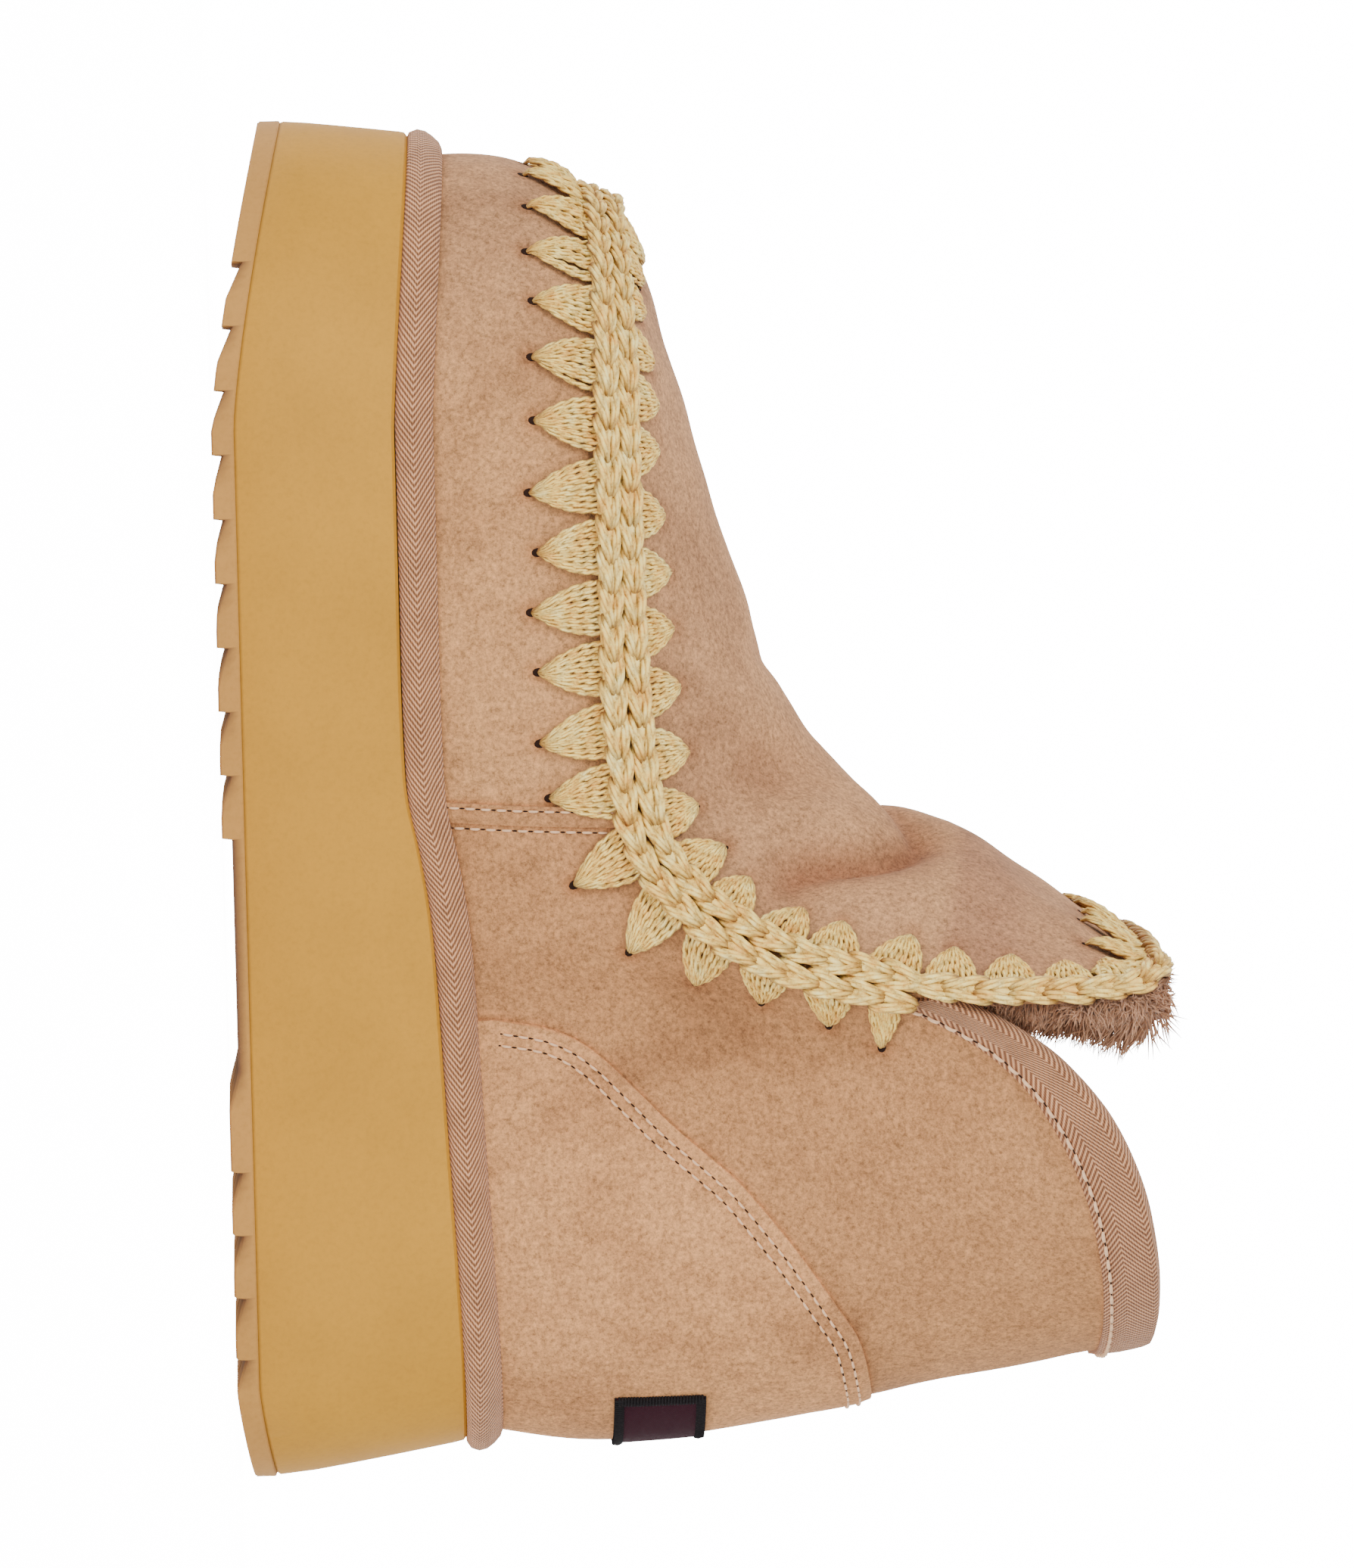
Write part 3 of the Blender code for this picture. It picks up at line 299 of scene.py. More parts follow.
def outline_width(side, x, insets):
    places, normals, arc = OUTLINE[side]
    inset = np.array([inset_at(r, insets) for r in arc])[:, None]
    moved = places - normals * inset
    return float(np.interp(x, moved[::-1, 0], moved[::-1, 1]))


def ground_height(station):
    toe = max(station - SPRING_START, 0) / (1 - SPRING_START)
    heel = max(LIFT_END - station, 0) / LIFT_END
    return TOE_SPRING * toe ** 1.3 + HEEL_LIFT * heel ** 1.3


def parting_height(station):
    return ground_height(station) + OUTSOLE_THICKNESS


def platform_height(station):
    wedge = cubic_columns(WEDGE, station)[0]
    toe = max(station - SPRING_START, 0) / (1 - SPRING_START)
    return BALL_HEIGHT + (HEEL_HEIGHT - BALL_HEIGHT) * wedge + TOE_RISE * toe ** 1.2


def foot_point(side, rib):
    place, normal = outline_point(side, rib, inset_at(rib, FOOT_INSET))
    height = platform_height(to_station(place[0])) + 0.0003
    return np.array([*place, height]), np.array([*normal, 0.0])


def top_point(side, rib):
    station, outer, inner, height, _, _ = cubic_columns(UPPER_RIBS, rib)
    across = outer if side > 0 else -inner
    return np.array([from_station(station), across * COLLAR_WIDTH / 2, height * BOOT_HEIGHT])


def wall_column(side, rib, shares):
    """Points of the side wall up one rib."""
    foot, normal = foot_point(side, rib)
    top = top_point(side, rib)
    low, high = cubic_columns(UPPER_RIBS, rib)[4:]
    reach = np.linalg.norm(top - foot)
    first = foot + (top - foot) / 3 + normal * low * reach * 2.25
    second = foot + (top - foot) * 2 / 3 + normal * high * reach * 2.25
    s = np.asarray(shares, float)[:, None]
    r = 1 - s
    return foot * r ** 3 + first * 3 * s * r ** 2 + second * 3 * s ** 2 * r + top * s ** 3


FINE_SHARES = np.linspace(0, 1, 80)


def wall_at(side, rib, height):
    """The wall's point at a height."""
    column = wall_column(side, rib, FINE_SHARES)
    share = np.interp(height, column[:, 2], FINE_SHARES)
    return wall_column(side, rib, [share])[0]


def arch_row(left, right, crown_station, crown_height, across):
    across = np.asarray(across, float)[:, None]
    base = right + (left - right) * (across + 1) / 2
    middle = (left + right) / 2
    bow = (1 - np.abs(across) ** CROWN_POWER)
    rise = np.array([from_station(crown_station) - middle[0], 0, crown_height * BOOT_HEIGHT - middle[2]])
    return base + bow * rise


def plug_row(rib, across):
    station, height = cubic_columns(PLUG_CROWN, rib)
    return arch_row(top_point(1, rib), top_point(-1, rib), station, height, across)


def flap_row(rise, across):
    station, side, height, crown, crown_height = cubic_columns(FLAP_ROWS_TABLE, rise)
    left = np.array([from_station(station), side * COLLAR_WIDTH / 2, height * BOOT_HEIGHT])
    right = left * np.array([1, -1, 1])
    return arch_row(left, right, crown, crown_height, across)


def even_ribs(start, end, count):
    fine = np.linspace(start, end, 300)
    points = np.array([top_point(1, r) for r in fine])
    arc = arc_lengths(points)
    return np.interp(np.linspace(0, arc[-1], count + 1), arc, fine)


# Meshes from arrays

def unit(v):
    v = np.asarray(v, float)
    return v / np.maximum(np.linalg.norm(v, axis=-1, keepdims=True), 1e-12)


def turned(vector, way):
    """The vector or its opposite, whichever is nearer to a direction."""
    return vector if vector @ way > 0 else -vector


def make_piece(name, points, quads, material, replaces=(), smooth=40, triangles=None):
    mesh = bpy.data.meshes.new(name)
    points = np.asarray(points, float)
    quads = np.asarray(quads, int).reshape(-1, 4)
    extra = np.asarray(triangles, int).reshape(-1, 3) if triangles is not None else np.zeros((0, 3), int)
    loops = np.concatenate([quads.ravel(), extra.ravel()])
    starts = np.concatenate([np.arange(len(quads)) * 4, len(quads) * 4 + np.arange(len(extra)) * 3])
    mesh.vertices.add(len(points))
    mesh.vertices.foreach_set("co", points.ravel())
    mesh.loops.add(len(loops))
    mesh.loops.foreach_set("vertex_index", loops)
    mesh.polygons.add(len(starts))
    mesh.polygons.foreach_set("loop_start", starts)
    mesh.update(calc_edges=True)
    mesh.validate()
    mesh.shade_smooth()
    if smooth < 180:
        mesh.set_sharp_from_angle(angle=math.radians(smooth))
    piece = bpy.data.objects.new(name, mesh)
    bpy.context.scene.collection.objects.link(piece)
    if material:
        mesh.materials.append(material)
    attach(piece, "root")
    if replaces:
        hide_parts(*replaces)
    return piece


def grid_quads(rows, columns, close_rows=False, close_columns=False, offset=0):
    i = np.arange(rows if close_rows else rows - 1)
    k = np.arange(columns if close_columns else columns - 1)
    a = (i[:, None] * columns + k[None, :])
    b = (i[:, None] * columns + ((k + 1) % columns)[None, :])
    c = (((i + 1) % rows)[:, None] * columns + ((k + 1) % columns)[None, :])
    d = (((i + 1) % rows)[:, None] * columns + k[None, :])
    return np.stack([a, b, c, d], axis=-1).reshape(-1, 4) + offset


def paint(piece, name, colours):
    layer = piece.data.color_attributes.new(name, 'FLOAT_COLOR', 'POINT')
    values = np.ones((len(piece.data.vertices), 4))
    values[:, :3] = colours
    layer.data.foreach_set("color", values.ravel())


def lay_uv(piece, coordinates):
    """UVs from one coordinate pair for each vertex."""
    layer = piece.data.uv_layers.new(name="along")
    corner = np.empty(len(piece.data.loops), int)
    piece.data.loops.foreach_get("vertex_index", corner)
    layer.data.foreach_set("uv", np.asarray(coordinates, float)[corner].ravel())


def line_frames(paths, normals):
    """Across and up for each point of many lines."""
    along = unit(np.gradient(paths, axis=1))
    across = unit(np.cross(along, normals))
    return across, np.cross(across, along)


def tubes(paths, normals, radii, sides=5):
    """Points, quads, UVs and shades of many tubes: paths and normals are (tube, point, 3).

    The UVs are metres along the tube and turns round it, for each quad's corners. The shades are 1 on
    the tube's top and 0 underneath.
    """
    paths = np.asarray(paths, float)
    across, up = line_frames(paths, normals)
    turn = np.arange(sides) * 2 * math.pi / sides
    ring = (np.cos(turn)[:, None] * across[:, :, None, :] + np.sin(turn)[:, None] * up[:, :, None, :])
    points = paths[:, :, None, :] + ring * np.asarray(radii)[:, :, None, None]
    count, length = paths.shape[:2]
    one = grid_quads(length, sides, close_columns=True)
    quads = (one[None] + (np.arange(count) * length * sides)[:, None, None]).reshape(-1, 4)
    steps = np.linalg.norm(np.diff(paths, axis=1), axis=2)
    first_turn = (np.arange(count) * 0.0037 % 0.0091)[:, None]
    arc = np.concatenate([first_turn, first_turn + np.cumsum(steps, axis=1)], axis=1)
    low = np.repeat(arc[:, :-1, None], sides, axis=2)
    high = np.repeat(arc[:, 1:, None], sides, axis=2)
    first = np.broadcast_to(np.arange(sides) / sides, low.shape)
    second = first + 1 / sides
    uv = np.stack([np.stack([low, low, high, high], axis=-1),
                   np.stack([first, second, second, first], axis=-1)], axis=-1)
    shade = np.broadcast_to(0.5 + 0.5 * np.sin(turn), (count, length, sides))
    return points.reshape(-1, 3), quads, uv.reshape(-1, 2), shade.ravel()


def twist(paths, normals, plies, lay, spread, turns, seed=0):
    """Winds plies round each path."""
    count, length = paths.shape[:2]
    across, up = line_frames(paths, normals)
    rng = np.random.default_rng(seed)
    start = rng.uniform(0, 2 * math.pi, (count, 1))
    share = np.linspace(0, 1, length)[None]
    wound = []
    for p in range(plies):
        angle = start + 2 * math.pi * (p / plies + turns * share)
        offset = (np.cos(angle)[..., None] * across + np.sin(angle)[..., None] * up) * lay
        wound.append(paths + offset * spread[..., None])
    return np.concatenate(wound), np.concatenate([normals] * plies)


# Materials

class Nodes:
    """A short way to write a node tree."""

    def __init__(self, name):
        self.material = bpy.data.materials.new(name)
        self.material.use_nodes = True
        self.tree = self.material.node_tree
        self.shader = self.tree.nodes["Principled BSDF"]

    def node(self, kind, **settings):
        made = self.tree.nodes.new(kind)
        for key, value in settings.items():
            setattr(made, key, value)
        return made

    def link(self, source, target):
        self.tree.links.new(source, target)

    def position(self):
        return self.node("ShaderNodeTexCoord").outputs["Object"]

    def noise(self, scale, detail=3, rough=0.5, vector=None, distortion=0.0):
        made = self.node("ShaderNodeTexNoise")
        made.inputs["Scale"].default_value = scale
        made.inputs["Detail"].default_value = detail
        made.inputs["Roughness"].default_value = rough
        made.inputs["Distortion"].default_value = distortion
        self.link(vector or self.position(), made.inputs["Vector"])
        return made.outputs["Fac"]

    def ramp(self, value, stops):
        made = self.node("ShaderNodeValToRGB")
        elements = made.color_ramp.elements
        while len(elements) < len(stops):
            elements.new(0.5)
        for element, (at, colour) in zip(elements, stops):
            element.position = at
            element.color = (*colour, 1)
        self.link(value, made.inputs["Fac"])
        return made.outputs["Color"]

    def math(self, operation, a, b=None):
        made = self.node("ShaderNodeMath", operation=operation)
        for socket, value in zip(made.inputs, (a, b)):
            if value is None:
                continue
            if isinstance(value, (int, float)):
                socket.default_value = value
            else:
                self.link(value, socket)
        return made.outputs[0]

    def mix(self, factor, a, b, blend='MIX'):
        made = self.node("ShaderNodeMix", data_type='RGBA', blend_type=blend)
        for socket, value in ((made.inputs[0], factor), (made.inputs[6], a), (made.inputs[7], b)):
            if isinstance(value, tuple):
                socket.default_value = (*value, 1)
            elif isinstance(value, (int, float)):
                socket.default_value = value
            else:
                self.link(value, socket)
        return made.outputs[2]

    def times(self, colour, *others):
        """Colours multiplied together."""
        for other in others:
            colour = self.mix(1.0, colour, other, 'MULTIPLY')
        return colour

    def waves(self, length, pitch):
        """A sine with one wave for each pitch of a length."""
        return self.math('SINE', self.math('MULTIPLY', length, 2 * math.pi / pitch))

    def attribute(self, name, output="Color"):
        return self.node("ShaderNodeAttribute", attribute_name=name).outputs[output]

    def along(self):
        """The UVs: the way along and the way across."""
        parts = self.node("ShaderNodeSeparateXYZ")
        self.link(self.node("ShaderNodeUVMap", uv_map="along").outputs["UV"], parts.inputs[0])
        return parts.outputs["X"], parts.outputs["Y"]

    def colour(self, socket):
        self.link(socket, self.shader.inputs["Base Color"])

    def bump(self, height, distance, strength=1.0, previous=None):
        made = self.node("ShaderNodeBump")
        made.inputs["Distance"].default_value = distance
        made.inputs["Strength"].default_value = strength
        self.link(height, made.inputs["Height"])
        if previous:
            self.link(previous, made.inputs["Normal"])
        self.link(made.outputs["Normal"], self.shader.inputs["Normal"])
        return made.outputs["Normal"]

    def set(self, **values):
        for key, value in values.items():
            self.shader.inputs[key.replace("_", " ")].default_value = value


def suede_material(name, fixed=None):
    """Napped suede: broad nap patches, brushed streaks and a fine grain over the panel's tone."""
    n = Nodes(name)
    if fixed:
        tone = n.node("ShaderNodeRGB")
        tone.outputs[0].default_value = (*fixed, 1)
        tone = tone.outputs[0]
    else:
        tone = n.attribute("tone")
    broad = n.ramp(n.noise(26, 4, 0.62, distortion=0.6),
                   [(0.34, (0.80, 0.78, 0.79)), (0.50, (1, 1, 1)), (0.68, (1.09, 1.10, 1.10))])
    middle = n.ramp(n.noise(170, 5, 0.75), [(0.30, (0.87, 0.85, 0.85)), (0.52, (1, 1, 1)),
                                            (0.70, (1.09, 1.10, 1.10))])
    grain = n.ramp(n.noise(1000, 5, 0.85), [(0.34, (0.50, 0.50, 0.50)), (0.50, (1, 1, 1)),
                                            (0.66, (1.50, 1.46, 1.42))])
    n.colour(n.times(tone, broad, middle, grain))
    coarse = n.bump(n.noise(420, 4, 0.7), 0.00045, 0.5)
    n.bump(n.noise(2600, 2, 0.6), 0.00012, 0.6, coarse)
    n.set(Roughness=0.95, Sheen_Weight=0.10, Sheen_Roughness=0.45, Specular_IOR_Level=0.10)
    n.shader.inputs["Sheen Tint"].default_value = (1.0, 0.78, 0.62, 1)
    return n.material


def yarn_material():
    n = Nodes("yarn")
    colour = n.ramp(n.noise(260, 3, 0.6), [(0.25, (0.93, 0.52, 0.105)), (0.5, (1.0, 0.71, 0.178)),
                                           (0.78, (1.0, 0.88, 0.36))])
    length, turn = n.along()
    lay = n.math('ADD', n.math('MULTIPLY', length, 1 / YARN_LAY), turn)
    fibre = n.math('ADD', n.math('MULTIPLY', n.waves(lay, 0.5), 0.17),
                   n.math('MULTIPLY', n.noise(1700, 3, 0.75), 0.95))
    fine = n.ramp(fibre, [(0.14, (0.48, 0.35, 0.20)), (0.46, (1.0, 0.98, 0.94)),
                          (0.80, (1.22, 1.25, 1.38))])
    # Painted shade underneath each ply and a painted highlight on its top, from the shade attribute
    valley = n.ramp(n.attribute("shade", "Fac"), [(0.22, (0.27, 0.165, 0.075)), (0.58, (0.82, 0.75, 0.65)),
                                                  (0.85, (1.06, 1.05, 1.03)), (1.0, (1.16, 1.18, 1.22))])
    n.colour(n.times(colour, fine, valley))
    n.bump(fibre, 0.00030, 0.8)
    n.set(Roughness=0.62, Sheen_Weight=0.10, Specular_IOR_Level=0.4)
    return n.material


def twill_material(name, half_width, colour, pale):
    """Tape in a herringbone of fine diagonals that turn back at its middle. Needs UVs in metres."""
    n = Nodes(name)
    length, width = n.along()
    folded = n.math('PINGPONG', width, half_width)
    slanted = n.math('ADD', n.math('MULTIPLY', length, 0.6), n.math('MULTIPLY', folded, 0.8))
    rib, cross = n.waves(slanted, TWILL_PITCH), n.waves(width, WEFT_PITCH)
    weave = n.math('ADD', n.math('MULTIPLY', rib, 0.36), n.math('MULTIPLY', cross, 0.12))
    weave = n.math('ADD', weave, 0.5)
    threads = n.ramp(weave, [(0.10, tuple(c * 0.34 for c in colour)), (0.48, colour), (0.86, pale)])
    worn = n.ramp(n.noise(220, 3, 0.6), [(0.3, (0.86, 0.85, 0.84)), (0.6, (1.05, 1.05, 1.05))])
    n.colour(n.times(threads, worn))
    n.bump(weave, 0.00035, 0.9)
    n.set(Roughness=0.85, Sheen_Weight=0.15, Specular_IOR_Level=0.2)
    return n.material


def rubber_material(name, roughness):
    n = Nodes(name)
    cloud = n.ramp(n.noise(38, 4, 0.55), [(0.3, (0.93, 0.92, 0.90)), (0.6, (1.03, 1.03, 1.03))])
    specks = n.ramp(n.noise(900, 3, 0.7), [(0.28, (0.92, 0.91, 0.88)), (0.5, (1, 1, 1)),
                                           (0.75, (1.05, 1.05, 1.04))])
    n.colour(n.times(n.attribute("tone"), cloud, specks))
    n.bump(n.noise(1400, 3, 0.65), 0.00010, 0.45)
    n.set(Roughness=roughness, Specular_IOR_Level=0.35)
    return n.material


def fleece_material(name, deep, middle, tip):
    n = Nodes(name)
    colour = n.ramp(n.attribute("tone", "Fac"), [(0.0, deep), (0.55, middle), (1.0, tip)])
    locks = n.ramp(n.noise(240, 3, 0.6), [(0.3, (0.78, 0.75, 0.72)), (0.6, (1.08, 1.08, 1.08))])
    wool = n.noise(800, 5, 0.8)
    fibre = n.ramp(wool, [(0.3, (0.70, 0.66, 0.62)), (0.6, (1.12, 1.12, 1.12))])
    n.colour(n.times(colour, locks, fibre))
    n.bump(wool, 0.0007, 0.9)
    n.set(Roughness=0.9, Sheen_Weight=0.35, Specular_IOR_Level=0.15)
    return n.material


def plain_material(name, colour, roughness, grain=900, depth=0.0001):
    n = Nodes(name)
    n.colour(n.ramp(n.noise(grain, 3, 0.6), [(0.3, tuple(c * 0.82 for c in colour)), (0.7, colour)]))
    n.bump(n.noise(grain * 2, 2, 0.6), depth, 0.5)
    n.set(Roughness=roughness, Specular_IOR_Level=0.25)
    return n.material


VAMP = np.array([0.565, 0.284, 0.121])
QUARTER = np.array([0.487, 0.234, 0.099])
PLUG = np.array([0.512, 0.268, 0.130])
COUNTER = (0.612, 0.299, 0.126)

SUEDE = suede_material("suede")
SUEDE_COUNTER = suede_material("suede_counter", COUNTER)
SUEDE_STRIP = suede_material("suede_strip", tuple(QUARTER * 0.97))
FLESH = plain_material("sheepskin_inside", (0.50, 0.25, 0.11), 1.0, 700, 0.0003)
YARN = yarn_material()
WELT_TWILL = twill_material("welt_twill", 0.0060, (0.480, 0.205, 0.088), (0.86, 0.46, 0.25))
COLLAR_TWILL = twill_material("collar_twill", 0.0055, (0.450, 0.188, 0.084), (0.80, 0.43, 0.23))
RUBBER = rubber_material("platform_rubber", 0.62)
TREAD = rubber_material("outsole_rubber", 0.66)
FLEECE = fleece_material("fleece", (0.22, 0.090, 0.040), (0.56, 0.272, 0.135), (0.92, 0.52, 0.30))
THREAD = plain_material("stitch_thread", (0.93, 0.60, 0.36), 0.9, 2500, 0.00005)
# Painted shade: near black for the needle holes, where only the shade inside a hole is seen
HOLE = plain_material("needle_hole", (0.022, 0.008, 0.004), 1.0)


# The suede upper

RIBS_SEAM = even_ribs(0.0, SPLIT_RIB, 150)
RIBS_REAR = even_ribs(SPLIT_RIB, 1.0, 84)
RIBS = np.concatenate([RIBS_SEAM, RIBS_REAR[1:]])
ROWS = 40
COLUMNS = 56
FLAP_STEPS = 44
FLAP_SIDE_SAMPLES = 70
FLAP_TOP_SAMPLES = 110


def crease_points(kind, places):
    """A crease's listed points as a dense line on the surface, with how deep it is there."""
    table = [(k, *p) for k, p in enumerate(places)]
    line, depth = [], []
    for at in np.linspace(0, len(places) - 1, 60):
        row, across, strength = cubic_columns(table, at)
        point = plug_row(row, [across])[0] if kind == "plug" else flap_row(row, [across])[0]
        line.append(point)
        depth.append(strength)
    return line, depth


def build_suede():
    points, where = [], []
    column = {}
    loop = [(1, k) for k in range(len(RIBS))] + [(-1, k) for k in range(len(RIBS) - 2, 0, -1)]
    shares = np.linspace(0, 1, ROWS + 1)
    for side, k in loop:
        column[side, k] = len(points)
        points.extend(wall_column(side, RIBS[k], shares))
        where.extend([(0, RIBS[k], s, side) for s in shares])
    column[-1, 0] = column[1, 0]
    column[-1, len(RIBS) - 1] = column[1, len(RIBS) - 1]
    quads, triangles = [], []
    for (side_a, a), (side_b, b) in zip(loop, loop[1:] + loop[:1]):
        p = column[side_a, a] + np.arange(ROWS)
        q = column[side_b, b] + np.arange(ROWS)
        quads.append(np.stack([p, q, q + 1, p + 1], axis=1))
    split = len(RIBS_SEAM) - 1
    across = np.linspace(-1, 1, COLUMNS + 1)
    grid = [[column[1, 0] + ROWS] * (COLUMNS + 1)]
    for k in range(1, split + 1):
        row = plug_row(RIBS_SEAM[k], across[1:-1])
        ids = list(range(len(points), len(points) + len(row)))
        points.extend(row)
        where.extend([(1, RIBS_SEAM[k], a, 0) for a in across[1:-1]])
        grid.append([column[-1, k] + ROWS] + ids + [column[1, k] + ROWS])
    for k in range(1, FLAP_STEPS + 1):
        rise = k / FLAP_STEPS
        row = flap_row(rise, across)
        grid.append(list(range(len(points), len(points) + len(row))))
        points.extend(row)
        where.extend([(2, rise, a, 0) for a in across])
    for low, high in zip(grid, grid[1:]):
        low, high = np.array(low), np.array(high)
        if low[0] == low[1]:
            triangles.append(np.stack([low[:-1], high[1:], high[:-1]], axis=1))
        else:
            quads.append(np.stack([low[:-1], low[1:], high[1:], high[:-1]], axis=1))
    return np.array(points), np.concatenate(quads), np.concatenate(triangles), np.array(where)


def vertex_normals(points, quads):
    a, b, c, d = (points[quads[:, k]] for k in range(4))
    face = np.cross(c - a, d - b)
    total = np.zeros_like(points)
    for k in range(4):
        np.add.at(total, quads[:, k], face)
    return unit(total)


def point_tree(points):
    tree = KDTree(len(points))
    for i, point in enumerate(points):
        tree.insert(point, i)
    tree.balance()
    return tree


def relief(points, where):
    """How far each point of the suede moves along its normal: creases, and the skin's soft waves. Also the
    painted shade that the creases give each point.
    """
    kind, row, place, _ = where.T
    wall = kind == 0
    free = np.where(wall, ease(0.0, 0.22, place) * ease(0.0, 0.16, 1 - place),
                    1 - np.abs(place) ** 5)
    free = np.where(kind == 2, free * ease(0.0, 0.12, 1 - row), free)
    move = np.zeros(len(points))
    for i, p in enumerate(points):
        v = Vector(p)
        move[i] = noise.noise(v * 34) * 0.0011 + noise.noise(v * 80 + Vector((3, 1, 5))) * 0.00045
    move *= np.where(wall, 0.7, 1.4)
    shade = np.zeros(len(points))
    for on, depth, width, swell, places in CREASES:
        line, fade = crease_points(on, places)
        tree = point_tree(line)
        for i in np.nonzero(~wall)[0]:
            _, index, distance = tree.find(points[i])
            if distance > width * 5:
                continue
            strength = fade[index]
            near = math.exp(-(distance / width) ** 2)
            beside = math.exp(-((distance - 2.4 * width) / (1.1 * width)) ** 2)
            move[i] += strength * (swell * beside - depth * near)
            shade[i] += strength * near * depth / 0.004
    return move * free, shade


SKIN_POINTS, SKIN_QUADS, SKIN_TRIANGLES, SKIN_WHERE = build_suede()
SKIN_NORMALS = vertex_normals(SKIN_POINTS, SKIN_QUADS)
TOE = int(np.argmax(SKIN_POINTS[:, 0]))
if SKIN_NORMALS[TOE][0] < 0:
    SKIN_NORMALS = -SKIN_NORMALS
    SKIN_QUADS = SKIN_QUADS[:, ::-1]
    SKIN_TRIANGLES = SKIN_TRIANGLES[:, ::-1]
MOVE, CREASE_SHADE = relief(SKIN_POINTS, SKIN_WHERE)
SKIN_POINTS = SKIN_POINTS + SKIN_NORMALS * MOVE[:, None]
SKIN = BVHTree.FromPolygons([tuple(p) for p in SKIN_POINTS],
                            [tuple(int(i) for i in q) for q in SKIN_QUADS])


def on_skin(points, like):
    """The nearest points of the suede and its normals, on the same side as another direction."""
    flat = np.asarray(points, float).reshape(-1, 3)
    likes = np.broadcast_to(like, np.shape(points)).reshape(-1, 3)
    hits, normals = np.empty_like(flat), np.empty_like(flat)
    for i, (p, l) in enumerate(zip(flat, likes)):
        hit, normal, _, _ = SKIN.find_nearest(p)
        hits[i] = hit
        normals[i] = normal if normal.dot(Vector(l)) > 0 else -normal
    return hits.reshape(np.shape(points)), normals.reshape(np.shape(points))


def outward(place):
    """Roughly outwards from the middle of the foot or of the shaft."""
    place = np.asarray(place, float)
    inside = place * 0
    inside[..., 0] = np.clip(place[..., 0], from_station(0.28), from_station(0.80))
    inside[..., 2] = place[..., 2] - 0.030
    return unit(place - inside)


def seam_samples(count=260):
    """The sewn edge from the outer split round the toe to the inner one, with wall and plug normals."""
    ribs = even_ribs(0, SPLIT_RIB, count)
    rows = []
    for side, order in ((1, ribs[::-1]), (-1, ribs[1:])):
        for r in order:
            edge = top_point(side, r)
            column = wall_column(side, r, [0.90, 0.99])
            ahead = top_point(side, max(r - 0.004, 0))
            back = top_point(side, min(r + 0.004, SPLIT_RIB))
            along = unit(ahead - back)
            wall = unit(np.cross(along, column[1] - column[0]))
            near = plug_row(max(r, 0.012), [side * 0.99, side * 0.90])
            plug = unit(np.cross(along, near[1] - near[0]))
            out = outward(edge)
            rows.append((edge, turned(wall, out), turned(plug, out)))
    return [np.array(c) for c in zip(*rows)]


def flap_samples():
    """The flap's free edge, from the inner split over the top to the outer split."""
    rows = []
    places = [(r, -1.0) for r in np.linspace(0, 1, FLAP_SIDE_SAMPLES)[1:]]
    places += [(1.0, a) for a in np.linspace(-1, 1, FLAP_TOP_SAMPLES)[1:]]
    places += [(r, 1.0) for r in np.linspace(1, 0, FLAP_SIDE_SAMPLES)[1:-1]]
    for rise, across in places:
        edge = flap_row(rise, [across])[0]
        inside_rise = rise - 0.06 if abs(across) < 1 and rise >= 1 else rise
        inside_across = across * 0.93
        inner = flap_row(inside_rise, [inside_across])[0]
        up = flap_row(min(inside_rise + 0.02, 1), [inside_across])[0]
        side = flap_row(inside_rise, [inside_across + 0.02])[0]
        normal = unit(np.cross(up - inner, side - inner))
        normal = normal if normal[0] > 0 else -normal
        away = edge - inner
        away = unit(away - normal * (away @ normal))
        rows.append((edge, away, normal))
    return [np.array(c) for c in zip(*rows)]


def smooth_loop(values, passes, closed):
    for _ in range(passes):
        if closed:
            values = (np.roll(values, 1, axis=0) + values * 2 + np.roll(values, -1, axis=0)) / 4
        else:
            inner = (values[:-2] + values[1:-1] * 2 + values[2:]) / 4
            values = np.concatenate([values[:1], inner, values[-1:]])
    return values


class Track:
    """A chain's path: centre, direction over the suede and direction off it, by length."""

    def __init__(self, edge, wall, plug, side, offset, closed):
        out = smooth_loop(unit(wall * 0.9 + plug), 10, closed)
        edge = smooth_loop(edge, 6, closed)
        along = np.gradient(edge, axis=0)
        if closed:
            along = np.roll(edge, -1, axis=0) - np.roll(edge, 1, axis=0)
        along = unit(along)
        out = unit(out - along * np.sum(out * along, axis=1, keepdims=True))
        over = np.cross(along, out)
        flip = np.sign(np.sum(over * plug, axis=1) - np.sum(over * wall, axis=1))
        flip = 1 if np.sum(flip) > 0 else -1
        over = over * flip * side
        self.out, self.over, self.along = out, over, along
        self.centre = edge + out * CHAIN_LIFT + over * np.asarray(offset)[:, None]
        self.closed = closed
        points = np.concatenate([self.centre, self.centre[:1]]) if closed else self.centre
        self.arc = arc_lengths(points)
        self.length = self.arc[-1]

    def read(self, values, at):
        at = np.asarray(at, float)
        if self.closed:
            at = np.mod(at, self.length)
            values = np.concatenate([values, values[:1]])
        else:
            at = np.clip(at, 0, self.length)
        return read_line(values, self.arc, at)

    def place(self, along, across, lift):
        """World points from lengths along, distances over the suede and heights off it."""
        centre = self.read(self.centre, along)
        over = unit(self.read(self.over, along))
        out = unit(self.read(self.out, along))
        return centre + over * np.asarray(across)[..., None] + out * np.asarray(lift)[..., None], out


